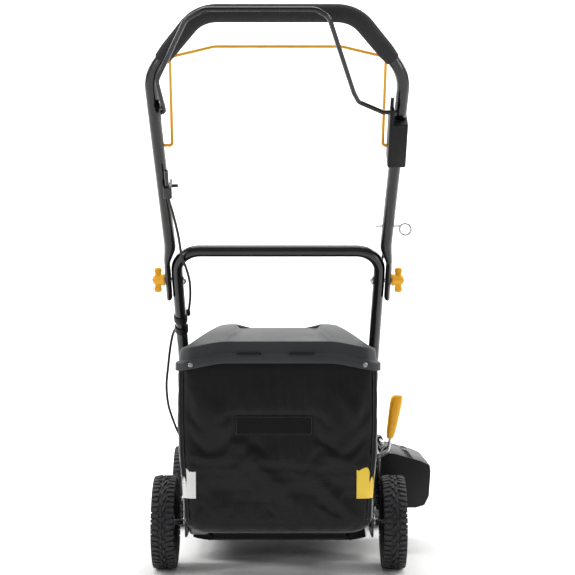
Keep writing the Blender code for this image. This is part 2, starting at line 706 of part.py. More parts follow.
def make_drive():
    """The gearbox with its pulley, the drive shaft in it, and the belt from the engine."""
    case = box((GEARBOX_X - 22, -24, 76), (GEARBOX_X + 20, 34, 126), 6)
    cut(case, cylinder((GEARBOX_X - 40, 0, AXLE_Z), (GEARBOX_X + 40, 0, AXLE_Z), DRIVE_SHAFT + RUNNING))
    join(case, cylinder((GEARBOX_X, GEARBOX_Y, 120), (GEARBOX_X, GEARBOX_Y, BELT_Z + 7), 5, 14))
    part(case, "gearbox", CAST, "rear_cranks")
    wheel = [
        (GEARBOX_PULLEY + 3, 6), (GEARBOX_PULLEY - 4, 1.5), (GEARBOX_PULLEY - 4, -1.5),
        (GEARBOX_PULLEY + 3, -6), (5 + RUNNING, -6), (5 + RUNNING, 6),
    ]
    place = (GEARBOX_X, GEARBOX_Y, BELT_Z)
    part(turned(wheel, place, steps=24), "gearbox_pulley", CAST, "gearbox_pulley")
    reach = PLATE_IN + PLATE_THICK
    shaft = cylinder((-reach, 0, AXLE_Z), (reach, 0, AXLE_Z), DRIVE_SHAFT)
    part(shaft, "drive_shaft", STEEL, "drive_shaft")
    start, end = Vector((0, ENGINE_Y)), Vector((GEARBOX_X, GEARBOX_Y))
    heading = (end - start).angle_signed(Vector((1, 0)))
    line = []
    for centre, radius, first in ((start, ENGINE_PULLEY, heading + math.pi / 2),
                                  (end, GEARBOX_PULLEY, heading - math.pi / 2)):
        for k in range(13):
            a = first + math.pi * k / 12
            line.append((centre.x + radius * math.cos(a), centre.y + radius * math.sin(a), BELT_Z))
    part(rod(line, 3.2, 8, cyclic=True), "drive_belt", RUBBER, "chassis")


# ---- engine and tool --------------------------------------------------------------------------------------
def make_engine():
    """The four-stroke engine: crankcase with barrel, shroud with starter, tank, silencer and air filter."""
    base = DECK_TOP + GAP
    bore = SHAFT + RUNNING
    case = turned([(80, 262), (80, 200), (96, 198), (96, base), (bore, base), (bore, 276), (40, 276)],
                  (0, ENGINE_Y, 0))
    join(case, box((-42, ENGINE_Y + 55, 212), (42, ENGINE_Y + 146, 274), 4))
    for k in range(5):
        z = 218 + 11 * k
        join(case, box((-54, ENGINE_Y + 84, z), (54, ENGINE_Y + 142, z + 4)))
    join(case, cylinder((-60, 270, 225), (-121.7, 270, 225), 12, 16))
    join(case, cylinder((0, ENGINE_Y + 140, 244), (0, ENGINE_Y + 176, 244), 8, 12))
    part(case, "engine_block", CAST, "chassis")
    top, wide = SHROUD_TOP, SHROUD_RADIUS
    shell = [
        (0, top), (58, top), (84, top - 8), (wide - 6, top - 30), (wide, 300), (wide, 282),
        (wide - SHEET, 282), (wide - SHEET, 300), (wide - 9, top - 31), (82, top - 11), (57, top - SHEET),
        (0, top - SHEET),
    ]
    shroud = turned(shell, (0, ENGINE_Y, 0), steps=32)
    join(shroud, cylinder((60, 236, 400), (88, 214, 408), 9, 14))
    part(shroud, "engine_shroud", PLASTIC, "chassis")
    tank = box((-92, 104, base), (92, 188, 296), 14)
    join(tank, cylinder((-50, 150, 290), (-50, 150, 300), 20, 20))
    part(tank, "fuel_tank", PLASTIC, "chassis")
    lid = [(0, 18), (18, 18), (24, 14), (24, GAP), (0, GAP)]
    part(turned(lid, PIVOTS["fuel_cap"], steps=20), "fuel_cap", PLASTIC, "fuel_cap")
    plug = [(0, 16), (10, 16), (16, 12), (16, GAP), (0, GAP)]
    part(turned(plug, PIVOTS["oil_cap"], (-1, 0, 0), 18), "oil_cap", YELLOW, "oil_cap")
    part(box((54 + GAP, 372, 208), (128, 446, 280), 8), "muffler", ZINC, "chassis")
    part(box((-134, 364, 206), (-54 - GAP, 450, 280), 10), "air_filter_cover", PLASTIC, "chassis")


def make_tool():
    """The crankshaft, its flywheel, and the tine bar with two spring tines that combs the thatch."""
    groove = ENGINE_PULLEY - 4
    shaft = turned(
        [(0, 316), (8, 316), (8, 292), (SHAFT, 286), (SHAFT, BELT_Z + 6), (ENGINE_PULLEY + 3, BELT_Z + 6),
         (groove, BELT_Z + 1.5), (groove, BELT_Z - 1.5), (ENGINE_PULLEY + 3, BELT_Z - 6), (SHAFT, BELT_Z - 6),
         (SHAFT, 100), (0, 100)],
        (0, ENGINE_Y, 0), steps=24,
    )
    part(shaft, "crankshaft", STEEL, "tool")
    wheel = [(78, 322), (78, 296), (8 + GAP, 296), (8 + GAP, 308), (60, 308), (66, 322)]
    part(turned(wheel, (0, ENGINE_Y, 0)), "flywheel", CAST, "tool")
    top = TINE_BAR_Z + 5
    hub = turned([(0, 100 - GAP), (24, 100 - GAP), (24, top + 6), (34, top + 4), (34, top + GAP),
                  (0, top + GAP)], (0, ENGINE_Y, 0), steps=24)
    part(hub, "tool_hub", STEEL, "tool")
    end = TINE_BAR_HALF
    outline = [(-end, -10), (-end + 26, -28), (end - 26, -28), (end, -10), (end, 10), (end - 26, 28),
               (-end + 26, 28), (-end, 10)]
    frame = Matrix.Translation((0, ENGINE_Y, TINE_BAR_Z + 2.5))
    bar = plate([outline], 5, frame)
    part(bar, "tine_bar", STEEL, "tool")
    for side, sign in SIDES.items():
        x, z, radius = sign * 150, TINE_BAR_Z - 13, 10
        line = [(x + sign * 16, -34, TINE_TIP_Z), (x + sign * radius, -20, z - 6)]
        turns, steps = 3, 8
        for k in range(turns * steps + 1):
            a = -2 * math.pi * k / steps
            line.append((x + sign * radius * math.cos(a), -16 + 32 * k / (turns * steps),
                         z + radius * math.sin(-a)))
        line += [(x + sign * radius, 20, z - 6), (x + sign * 16, 34, TINE_TIP_Z)]
        spring = rod([(p[0], p[1] + ENGINE_Y, p[2]) for p in line], 2.2)
        part(spring, f"spring_tine_{side}", STEEL, "tool")


# ---- handle -----------------------------------------------------------------------------------------------
def upper_line():
    """The upper handle's path across and along the handle, from the right leg's end to the left's."""
    half = LEG_FOLD + TUBE + 0.5 + FLAT_THICK / 2
    right = rounded(
        [(half, FOLD_AT - 40, 0), (half, FOLD_AT + 46, 0), (199.8, FOLD_AT + 80, 0),
         (SHOULDER_HALF, SHOULDER_AT, 0), (TOP_HALF, TOP_AT, 0), (0, TOP_AT, 0)],
        (60, 60, 90, 60), step=18,
    )
    return [Vector((p.x, p.y)) for p in right] + [Vector((-p.x, p.y)) for p in right[-2::-1]]


def make_upper_handle():
    """The upper handle, flattened where it meets the lower one, and its foam grip."""
    path = upper_line()
    sizes = []
    for p in path:
        t = min(1.0, max(0.0, (p.y - FOLD_AT - 44) / 34))
        sizes.append((FLAT_THICK / 2 + (TUBE - FLAT_THICK / 2) * t, FLAT_WIDE / 2 + (TUBE - FLAT_WIDE / 2) * t))
    tube = sweep(path, sizes, HANDLE)
    cut(tube, *[
        cylinder(on_handle(sign * 195, FOLD_AT), on_handle(sign * 220, FOLD_AT), BOLT + RUNNING)
        for sign in SIDES.values()
    ])
    cut(tube, *[
        cylinder(on_handle(sign * 190, BRAKE_AT), on_handle(sign * 212, BRAKE_AT), BRAKE_ROD + RUNNING, 16)
        for sign in SIDES.values()
    ])
    cut(tube, cylinder(on_handle(180, GUIDE_AT), on_handle(230, GUIDE_AT), GUIDE_WIRE + GAP, 12))
    part(tube, "upper_handle", GLOSS_BLACK, "upper_handle")
    half_line = [p for p in path if p.y > GRIP_FROM]
    lean = (TOP_HALF - SHOULDER_HALF) / (TOP_AT - SHOULDER_AT)
    start = Vector((SHOULDER_HALF + lean * (GRIP_FROM - SHOULDER_AT), GRIP_FROM))
    line = [start] + [p for p in half_line if p.y > GRIP_FROM + 8] + [Vector((-start.x, start.y))]
    grip = sweep(line, [(GRIP_RADIUS, GRIP_RADIUS)] * len(line), HANDLE, bore=TUBE + 2 * GAP, sides=12)
    part(grip, "foam_grip", FOAM, "upper_handle")


GUIDE_AT = 648.0
GUIDE_WIRE = 1.9


def make_rope_guide():
    """The pig-tail guide on the right leg that the starter rope would run through."""
    across = 233.0
    ring = 10.5
    line = [on_handle(178, GUIDE_AT), on_handle(214, GUIDE_AT)]
    middle = on_handle(across, GUIDE_AT) + Vector((0, 0, -6))
    for k in range(20):
        a = math.radians(140 - 22 * k)
        line.append(middle + Vector((ring * math.cos(a), -0.42 * k, ring * math.sin(a))))
    guide = as_mesh(rod(line, GUIDE_WIRE))
    join(guide, cylinder(on_handle(178.5, GUIDE_AT), on_handle(185, GUIDE_AT), 5, 6))
    part(guide, "rope_guide", ZINC, "upper_handle")


def make_lower_handle():
    """The lower handle: an upside-down U whose legs stand in the side plates."""
    line = rounded(
        [on_handle(LEG_BASE, 0), on_handle(LEG_FOLD, FOLD_AT + 10), on_handle(LEG_FOLD - 1, BAR_AT),
         on_handle(1 - LEG_FOLD, BAR_AT), on_handle(-LEG_FOLD, FOLD_AT + 10), on_handle(-LEG_BASE, 0)],
        (0, 45, 45, 0),
    )
    tube = as_mesh(rod(line, TUBE, 12))
    cut(tube, *[
        cylinder(on_handle(sign * 170, FOLD_AT), on_handle(sign * 215, FOLD_AT), BOLT + GAP)
        for sign in SIDES.values()
    ])
    part(tube, "lower_handle", GLOSS_BLACK, "chassis")


KNOB_IN = LEG_FOLD + TUBE + 0.5 + FLAT_THICK + 0.5


def make_knobs():
    """The fold's carriage bolts and the yellow wing knobs that clamp it."""
    for side, sign in SIDES.items():
        head_in = LEG_FOLD - TUBE - GAP - 5
        length = KNOB_IN + 24 - head_in
        bolt = [(0, length), (BOLT, length), (BOLT, 5), (9, 5), (9, 3), (5, 0), (0, 0)]
        place = on_handle(sign * head_in, FOLD_AT)
        part(turned(bolt, place, (sign, 0, 0), 16), f"fold_bolt_{side}", ZINC, "chassis")
        hub = cylinder(on_handle(sign * KNOB_IN, FOLD_AT), on_handle(sign * (KNOB_IN + 21), FOLD_AT), 11, 20,
                       end_radius=8)
        middle = on_handle(0, FOLD_AT)
        for up in (1, -1):
            low = Vector((KNOB_IN + 6, -5, 4 * up)) if up > 0 else Vector((KNOB_IN + 6, -5, -23))
            high = Vector((KNOB_IN + 20, 5, 23)) if up > 0 else Vector((KNOB_IN + 20, 5, -4))
            if sign < 0:
                low.x, high.x = -high.x, -low.x
            join(hub, box(low, high, 3.5, Matrix.Translation(middle)))
        cut(hub, cylinder(middle + Vector((sign * 200, 0, 0)), middle + Vector((sign * 245, 0, 0)),
                          BOLT + RUNNING, 16))
        part(hub, f"wing_knob_{side}", YELLOW, f"knob_{side}")


BRAKE_LEG = 184.0


def make_brake_bail():
    """The yellow engine-brake bail, let go: it stands up ahead of the handle."""
    ahead = math.sin(BRAKE_OPEN)
    rise = math.cos(BRAKE_OPEN)

    def at(x, reach):
        return on_handle(x, BRAKE_AT + reach * rise, -reach * ahead)

    ends = 206.0
    line = rounded(
        [at(ends, 0), at(BRAKE_LEG, 0), at(197, 200), at(117, 225),
         at(-117, 225), at(-197, 200), at(-BRAKE_LEG, 0), at(-ends, 0)],
        (5, 14, 20, 20, 14, 5), step=22,
    )
    part(rod(line, BRAKE_ROD), "brake_bail", YELLOW_ROD, "brake_bail")


def make_drive_bail():
    """The black drive bail over the grip; its right leg leans in and then out to its housing."""
    rise = math.cos(DRIVE_OPEN)
    off = math.sin(DRIVE_OPEN)

    def at(x, reach):
        return on_handle(x, DRIVE_AT + reach * rise, DRIVE_LIFT + reach * off)

    line = rounded(
        [at(-206, 0), at(TUBE - 202.5, 0), at(TUBE - 212, 66), at(-146, 188), at(-115, 207), at(63, 207), at(84, 192),
         at(129, 41), at(138, 22), at(180, 0), at(204, 0)],
        (5, 30, 25, 25, 20, 20, 14, 14, 8), step=22,
    )
    part(rod(line, DRIVE_ROD), "drive_bail", GLOSS_BLACK, "drive_bail")


CLAMP_AT = 739.0


def make_handle_fittings():
    """What is bolted to the upper handle: the left bail bracket, the cable clamp and the right housing."""
    leg_at = 199.8 + 0.0396 * (DRIVE_AT - 600)
    face = leg_at - TUBE - 3 * GAP
    ear = box((-face, DRIVE_AT - 13, -9), (-face + 2.6, DRIVE_AT + 13, 28), 1, HANDLE)
    join(ear, cylinder(on_handle(-face + 2, DRIVE_AT - 1), on_handle(-face + 8, DRIVE_AT - 1), 6.5, 6))
    cut(ear, cylinder(on_handle(-face - 5, DRIVE_AT, DRIVE_LIFT), on_handle(-face + 12, DRIVE_AT, DRIVE_LIFT),
                      DRIVE_ROD + RUNNING, 16))
    part(ear, "bail_bracket_left", GLOSS_BLACK, "upper_handle")
    block = box((-203, CLAMP_AT - 12, TUBE + GAP), (-188, CLAMP_AT + 12, 24), 1.5, HANDLE)
    join(block, box((TUBE - 204.6, CLAMP_AT - 9, -9), (-188.5, CLAMP_AT + 9, TUBE + 3), 1, HANDLE))
    join(block, cylinder(on_handle(-196, CLAMP_AT + 11, 17.5), on_handle(-196, CLAMP_AT + 46, 17.5), 3.6, 12))
    join(block, cylinder(on_handle(-190, CLAMP_AT, 0), on_handle(-178, CLAMP_AT, 0), 3.2, 10))
    part(block, "cable_clamp", GLOSS_BLACK, "upper_handle")
    low, high = BRAKE_AT - 29, BRAKE_AT + 60
    house = box((191.6, low, -16), (224, high, 28), 3, HANDLE)
    join(house, box((191.8, high - 9, 11), (199, DRIVE_AT + 8, 27), 1.5, HANDLE))
    join(house, box((192, DRIVE_AT + 2, 14), (198, DRIVE_AT + 26, 19), 0, HANDLE))
    leg = [on_handle(199.8 + 0.0396 * (s - 600), s) for s in (low - 30, high + 60)]
    cut(
        house,
        cylinder(leg[0], leg[1], TUBE + GAP, 20),
        cylinder(on_handle(185, BRAKE_AT), on_handle(212, BRAKE_AT), BRAKE_ROD + RUNNING, 16),
        cylinder(on_handle(185, DRIVE_AT, DRIVE_LIFT), on_handle(228, DRIVE_AT, DRIVE_LIFT),
                 DRIVE_ROD + RUNNING, 16),
    )
    part(house, "bail_housing_right", PLASTIC, "upper_handle")


DRIVE_CABLE = 2.5
DRIVE_CABLE_ROUTE = [
    on_handle(-196, CLAMP_AT - 13, 17.5), on_handle(-189, 690, 17), on_handle(-182, 640, 16.5),
    on_handle(-178, 590, 16.5), on_handle(-171, 560, 15), on_handle(-167, FOLD_AT, 6),
    on_handle(-169, 470, -7), on_handle(-176, 425, -15), on_handle(-190, 398, -18),
    on_handle(-205, 378, -14), (-212, -262, 490), (-217, -258, 450), (-221, -250, 410),
    (-219, -228, 370), (-211, -190, 332), (-207, -128, 305), (-204, -58, 287), (-195, -4, 274),
    (-180, 42, 252), (-166, 84, 220), (-158, 112, 191.5),
]
BRAKE_CABLE_ROUTE = [
    on_handle(206, BRAKE_AT - 30, -14), on_handle(201, 700, -15), on_handle(200, 620, -15.5),
    on_handle(196, 560, -15), on_handle(190, FOLD_AT, -15), on_handle(189, 450, -15),
    on_handle(187, 320, -15), on_handle(185, 200, -15), on_handle(180, 90, -22),
    (168, 10, 262), (150, 60, 262), (132, 120, 262), (122, 180, 268), (116, 224, 280),
]


def make_cables():
    """The two control cables, held by the handle all the way; each bends where the handle folds."""
    for name, route in (("drive_cable", DRIVE_CABLE_ROUTE), ("brake_cable", BRAKE_CABLE_ROUTE)):
        line = smooth_route(route, 17.0)
        part(rod(line, DRIVE_CABLE), name, CABLE, "chassis")


# ---- bag --------------------------------------------------------------------------------------------------
def bag_front_at(z):
    """The bag's front stands upright up to the door's rod and then leans back beside the raised door."""
    lean = max(0.0, z - DOOR_ROD_Z)
    return BAG_FRONT - (10.0 if lean else 0.0) * min(1.0, lean / 20) - lean / math.tan(PITCH)


def bag_ring(z, rear, rear_half, front_half, corner, inset=0.0):
    """A level section of the bag; its sides swell towards the rear along a shallow curve."""
    front = bag_front_at(z) - inset
    rear += inset
    spread = rear_half - front_half

    def half_at(y):
        share = (BAG_FRONT - y) / (BAG_FRONT - BAG_REAR)
        return front_half + spread * share * share - inset

    sides = [front, front - 0.35 * (front - rear), front - 0.7 * (front - rear), rear]
    corners = [(-half_at(y), y) for y in sides] + [(half_at(y), y) for y in sides[::-1]]
    return [(x, y, z) for x, y in rounded_loop(corners, corner - inset / 2, 2)]


def bag_shell(sections, rise):
    """A moulded or sewn wall through the sections, closed at the last one; rise lifts its inner floor."""
    last = len(sections) - 1
    inner = [
        bag_ring(z + (rise if k == last else 0), rear, rear_half, front_half, corner, SHEET)
        for k, (z, rear, rear_half, front_half, corner) in enumerate(sections)
    ]
    return shell([bag_ring(*section) for section in sections], inner)


def make_bag():
    """The grass bag: a woven sack on a wire frame, under a moulded lid."""
    sack = bag_shell([
        (LID_LOW - GAP, -438, 188, BAG_FRONT_HALF, 24), (DOOR_ROD_Z + 20, -430, 187, BAG_FRONT_HALF, 24),
        (MOUTH_HIGH + 2, -424, 186, BAG_FRONT_HALF, 24), (BAG_LOW + 26, -412, 178, BAG_FRONT_HALF - 4, 24),
        (BAG_LOW + 6, -404, 170, 152, 22), (BAG_LOW, -396, 160, 140, 20),
    ], SHEET)
    cut(sack, box((-MOUTH_HALF, BAG_FRONT - 20, MOUTH_LOW + 8), (MOUTH_HALF, BAG_FRONT + 20, MOUTH_HIGH), 0))
    part(sack, "bag_fabric", MESH_FABRIC, "grass_bag")
    lid = bag_shell([
        (LID_LOW, BAG_REAR, BAG_REAR_HALF, BAG_FRONT_HALF + 1, 26),
        (LID_STEP - 5, BAG_REAR, BAG_REAR_HALF, BAG_FRONT_HALF + 1, 26),
        (LID_STEP, BAG_REAR + 7, 183, BAG_FRONT_HALF - 3, 24),
        (LID_LIP - 3, BAG_REAR + 8, 180, BAG_FRONT_HALF - 8, 24),
        (LID_LIP, BAG_REAR + 20, 172, BAG_FRONT_HALF - 20, 18),
        (LID_TOP, -250, 128, 112, 12),
    ], -SHEET)
    part(lid, "bag_lid", LID_GREY, "grass_bag")
    y = BAG_FRONT + 4
    x = MOUTH_HALF + 8
    corners = rounded_loop([(-x, MOUTH_LOW - 2), (x, MOUTH_LOW - 2), (x, MOUTH_HIGH + 6), (-x, MOUTH_HIGH + 6)],
                           18, 4)
    part(rod([(cx, y, cz) for cx, cz in corners], 3.2, 8, cyclic=True), "bag_frame", GLOSS_BLACK, "grass_bag")


# ---- side chute -------------------------------------------------------------------------------------------
def make_chute():
    """The side chute on its rod: a moulded hood, open below and towards the deck, with a closing spring."""
    rear, front = CHUTE_REAR, CHUTE_FRONT
    hx, hz = CHUTE_HINGE_X, CHUTE_HINGE_Z
    outline = [
        (hx - 6, 231), (hx + 18, 230), (CHUTE_OUT - 22, 213), (CHUTE_OUT - 2, 204), (CHUTE_OUT, 190),
        (CHUTE_OUT - 4, CHUTE_LOW + 26), (CHUTE_OUT - 14, CHUTE_LOW + 6), (CHUTE_OUT - 34, CHUTE_LOW),
        (DECK_HALF + 34, CHUTE_LOW),
    ]
    hood = plate([outline], front - rear, end_frame((front + rear) / 2))
    inner = [
        (hx - 30, 231 - SHEET), (hx + 18, 230 - SHEET), (CHUTE_OUT - 23, 213 - SHEET),
        (CHUTE_OUT - 5, 200), (CHUTE_OUT - 3, 190), (CHUTE_OUT - 7, CHUTE_LOW + 26),
        (CHUTE_OUT - 17, CHUTE_LOW + 7), (CHUTE_OUT - 35, CHUTE_LOW + 3), (CHUTE_OUT - 60, CHUTE_LOW - 20),
        (hx - 60, CHUTE_LOW - 20),
    ]
    cut(hood, plate([inner], front - rear - 2 * SHEET, end_frame((front + rear) / 2)))
    for low, high in ((rear + 4, rear + 44), (front - 44, front - 4)):
        join(hood, cylinder((hx, low, hz), (hx, high, hz), 7, 16))
        join(hood, box((hx - 3.6, low + 0.5, 228.5), (hx + 3.6, high - 0.5, hz - 4)))
    cut(hood, cylinder((hx, rear - 10, hz), (hx, front + 10, hz), 3 + RUNNING, 16))
    part(hood, "side_chute", PLASTIC, "side_chute")
    wrap = []
    turns, steps = 4, 8
    for k in range(turns * steps + 1):
        a = math.pi / 2 + 2 * math.pi * k / steps
        wrap.append((hx + 6.2 * math.cos(a), 232 + 26 * k / (turns * steps), hz + 6.2 * math.sin(a)))
    wrap = wrap + [(hx + 26, 262, 237.5), (298, 266, 222.2)]
    part(rod(wrap, 1.3), "chute_spring", ZINC, "side_chute")
    base = DECK_TOP + GAP
    strip = plate([[(118, base), (172, base), (190, 200), (hx - 12, 222), (hx - 12, 226), (188, 204),
                    (170, base + 4), (118, base + 4)]], front - rear, end_frame((front + rear) / 2))
    for y in (rear - 6, front + 6):
        ear = [(150, base + 0.5), (176, base + 0.5), (hx + 6, hz - 8), (hx + 8, hz), (hx + 3, hz + 6),
               (hx - 4, hz + 6), (hx - 14, 232), (150, base + 10)]
        join(strip, plate([ear], 4, end_frame(y)))
        near, far = (y - 1, rear + 1) if y < rear else (front - 1, y + 1)
        join(strip, box((152, near, base + 0.2), (170, far, base + 3.6)))
    join(strip, cylinder((hx, rear - 14, hz), (hx, front + 14, hz), 3, 12))
    part(strip, "chute_bracket", GLOSS_BLACK, "chassis")


def centre_on_floor():
    """Move the machine so that the middle of its base is at the world's origin."""
    bpy.context.view_layer.update()
    deps = bpy.context.evaluated_depsgraph_get()
    places = []
    for piece in PARTS.objects:
        if piece.type in {"MESH", "CURVE"}:
            shape = piece.evaluated_get(deps)
            mesh = shape.to_mesh()
            places += [piece.matrix_world @ v.co for v in mesh.vertices]
            shape.to_mesh_clear()
    low = [min(p[k] for p in places) for k in range(3)]
    high = [max(p[k] for p in places) for k in range(3)]
    MACHINE.location = (-(low[0] + high[0]) / 2, -(low[1] + high[1]) / 2, -low[2])
    bpy.context.view_layer.update()


make_wheels()
make_cranks()
make_lever()
make_side_plates()
make_deck()
make_tunnel()
make_door()
make_shield()
make_drive()
make_engine()
make_tool()
make_upper_handle()
make_rope_guide()
make_lower_handle()
make_knobs()
make_brake_bail()
make_drive_bail()
make_handle_fittings()
make_cables()
make_bag()
make_chute()
centre_on_floor()
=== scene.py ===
# %% [markdown]
# # A walk-behind lawn dethatcher
# The machine's frame comes from a imported CAD model: every steel plate, tube, wheel and hinge is already at its
# true size and place. This script only makes it look real. It gives every node a finish, and where the CAD is
# plain, such as a wheel without its tread or a bag without its cloth, it makes the fine piece that stands for it.
# First the frame is loaded, and its box is kept, to be printed at the end beside the built piece's. First the
# frame is loaded, and its box is kept, because nothing made here may grow past it.

# %% Load the frame
import json
import math

import bmesh
import bpy
from mathutils import Matrix, Quaternion, Vector

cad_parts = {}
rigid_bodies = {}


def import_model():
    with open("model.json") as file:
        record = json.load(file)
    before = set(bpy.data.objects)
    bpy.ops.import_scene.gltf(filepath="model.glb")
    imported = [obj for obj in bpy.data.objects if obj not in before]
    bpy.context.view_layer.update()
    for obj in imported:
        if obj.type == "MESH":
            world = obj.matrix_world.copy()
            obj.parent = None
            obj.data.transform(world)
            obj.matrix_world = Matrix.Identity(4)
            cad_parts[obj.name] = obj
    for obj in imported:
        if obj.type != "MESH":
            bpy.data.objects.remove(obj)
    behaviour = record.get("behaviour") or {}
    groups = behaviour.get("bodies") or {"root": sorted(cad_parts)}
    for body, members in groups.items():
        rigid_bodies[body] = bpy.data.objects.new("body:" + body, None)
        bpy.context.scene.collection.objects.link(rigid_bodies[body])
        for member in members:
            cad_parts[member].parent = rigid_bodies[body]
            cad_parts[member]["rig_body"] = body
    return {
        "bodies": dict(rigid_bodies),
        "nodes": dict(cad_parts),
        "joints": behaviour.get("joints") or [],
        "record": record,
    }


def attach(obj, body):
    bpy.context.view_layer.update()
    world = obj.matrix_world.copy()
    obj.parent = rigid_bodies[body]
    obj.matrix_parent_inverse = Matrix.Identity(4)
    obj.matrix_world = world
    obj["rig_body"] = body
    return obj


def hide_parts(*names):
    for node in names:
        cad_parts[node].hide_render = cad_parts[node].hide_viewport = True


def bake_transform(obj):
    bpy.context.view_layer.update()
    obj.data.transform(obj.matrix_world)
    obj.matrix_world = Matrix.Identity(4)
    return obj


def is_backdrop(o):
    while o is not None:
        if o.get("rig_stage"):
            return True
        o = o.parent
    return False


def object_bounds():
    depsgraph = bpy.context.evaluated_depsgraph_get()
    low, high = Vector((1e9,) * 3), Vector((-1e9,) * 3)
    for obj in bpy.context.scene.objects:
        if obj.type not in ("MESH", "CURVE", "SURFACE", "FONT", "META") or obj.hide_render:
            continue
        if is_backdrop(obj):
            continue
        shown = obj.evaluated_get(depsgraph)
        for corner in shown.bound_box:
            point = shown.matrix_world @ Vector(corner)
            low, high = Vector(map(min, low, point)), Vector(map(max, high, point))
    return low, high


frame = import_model()
cad_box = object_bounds()
nodes = frame["nodes"]
joints = {joint["name"]: joint for joint in frame["joints"]}
MM = 0.001

# %% [markdown]
# A machine is drawn from a datum. This one's is on the ground under the rear axle, on the centre line: X runs to
# the machine's right, Y the way it travels and Z up. The joints say where that is, so the datum follows the CAD.
# The handle slopes back at 50 degrees, and its tubes, bails and cables are easiest to place on that slope.

# %% The machine's datum and the handle's slope
DATUM = Vector((joints["tool_spin"]["pos_m"][0], joints["drive_shaft_spin"]["pos_m"][1], 0.0))
HANDLE_PITCH = math.radians(50.0)
HANDLE_FOOT = Vector((0.0, -30.0, 220.0))
ALONG = Vector((0.0, -math.cos(HANDLE_PITCH), math.sin(HANDLE_PITCH)))
OUT = Vector((0.0, -math.sin(HANDLE_PITCH), -math.cos(HANDLE_PITCH)))


def machine(x, y, z):
    """A point in metres from machine millimetres."""
    return DATUM + Vector((x, y, z)) * MM


def on_handle(across, along, out=0.0):
    """A point in metres from millimetres across, along and off the handle's slope."""
    place = HANDLE_FOOT + Vector((across, 0, 0)) + ALONG * along + OUT * out
    return machine(*place)


SIDES = {"left": -1, "right": 1}
print("datum:", [round(v, 4) for v in DATUM])

# %% [markdown]
# The camera stands three metres behind the machine at the height of its fold and looks level, so uprights stay
# upright. The stage is one pale sheet that curves up behind, as in a product studio, so it has no horizon.

# %% Camera and stage
camera = bpy.data.objects.new("camera", bpy.data.cameras.new("camera"))
bpy.context.scene.collection.objects.link(camera)
camera.location = machine(17.6, -3000.0, 604.0)
camera.rotation_euler = (math.radians(90.0), 0.0, 0.0)
camera.data.lens = 87.3
camera.data.sensor_width = 36.0
bpy.context.scene.camera = camera
bpy.context.scene.view_settings.view_transform = "Standard"

STAGE_HALF = 9.0
STAGE_BACK = 4.0
STAGE_CURVE = 2.0
profile = [(-9.0, 0.0)]
for step in range(13):
    turn = math.pi / 2 * step / 12
    profile.append((STAGE_BACK + STAGE_CURVE * math.sin(turn), STAGE_CURVE * (1 - math.cos(turn))))
profile.append((STAGE_BACK + STAGE_CURVE, 7.0))
verts = [(side * STAGE_HALF, y, z) for y, z in profile for side in (-1, 1)]
faces = [(2 * k, 2 * k + 1, 2 * k + 3, 2 * k + 2) for k in range(len(profile) - 1)]
stage_mesh = bpy.data.meshes.new("stage")
stage_mesh.from_pydata(verts, [], faces)
stage_mesh.shade_smooth()
stage = bpy.data.objects.new("stage", stage_mesh)
bpy.context.scene.collection.objects.link(stage)
stage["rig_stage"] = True
print("camera and stage set")

# %% [markdown]
# Black gloss tube shows hardly any light of its own: what the eye reads is the lamps mirrored in it. So two tall
# soft boxes stand at the sides and draw a bright line down each tube, and a large one overhead fills the rest.
# Two more light only the paper behind, which keeps it white while the machine stays black.

# %% Lamps
world = bpy.data.worlds.new("studio")
world.use_nodes = True
world.node_tree.nodes["Background"].inputs["Color"].default_value = (1.0, 1.0, 1.0, 1.0)
world.node_tree.nodes["Background"].inputs["Strength"].default_value = 0.3
bpy.context.scene.world = world
LAMPS = {
    "overhead": ((0.0, 0.4, 3.4), (3.0, 3.0), (0.0, 0.4, 0.0), 78.0),
    "tall_left": ((-2.3, -1.6, 1.3), (0.5, 2.4), (0.0, 0.0, 0.5), 22.0),
    "tall_right": ((2.4, -1.2, 1.2), (0.5, 2.4), (0.0, 0.0, 0.5), 20.0),
    "behind_left": ((-3.2, 1.8, 3.0), (2.0, 3.0), (0.0, 5.5, 1.0), 260.0),
    "behind_right": ((3.2, 1.8, 3.0), (2.0, 3.0), (0.0, 5.5, 1.0), 260.0),
}
for name, (place, size, target, power) in LAMPS.items():
    light = bpy.data.lights.new(name, "AREA")
    light.shape = "RECTANGLE"
    light.size, light.size_y = size
    light.energy = power
    lamp = bpy.data.objects.new(name, light)
    lamp.location = place
    aim = Vector(target) - Vector(place)
    lamp.rotation_euler = aim.to_track_quat("-Z", "Y").to_euler()
    bpy.context.scene.collection.objects.link(lamp)
print(len(LAMPS), "lamps")

# %% [markdown]
# ## Finishes
# Every finish starts from the real material. Its colour is the one the eye sees, in sRGB hex, and one function
# turns it to the linear numbers that the shader wants. One more function adds a node, so each finish below reads
# as a short list. Pattern sizes are in millimetres. A grain under two millimetres wouldn't show at this distance,
# so it is drawn at two or three.

# %% Colour and node helpers
def linear(code):
    """An sRGB hex colour as linear RGBA."""
    parts = [int(code[k:k + 2], 16) / 255 for k in (1, 3, 5)]
    return [p / 12.92 if p <= 0.04045 else ((p + 0.055) / 1.055) ** 2.4 for p in parts] + [1.0]


def node(tree, kind, inputs=None, **settings):
    """Add a node, set it up, and link or fill its inputs."""
    made = tree.nodes.new(kind)
    for name, value in settings.items():
        setattr(made, name, value)
    for key, value in (inputs or {}).items():
        if isinstance(value, bpy.types.NodeSocket):
            tree.links.new(value, made.inputs[key])
        else:
            made.inputs[key].default_value = value
    return made


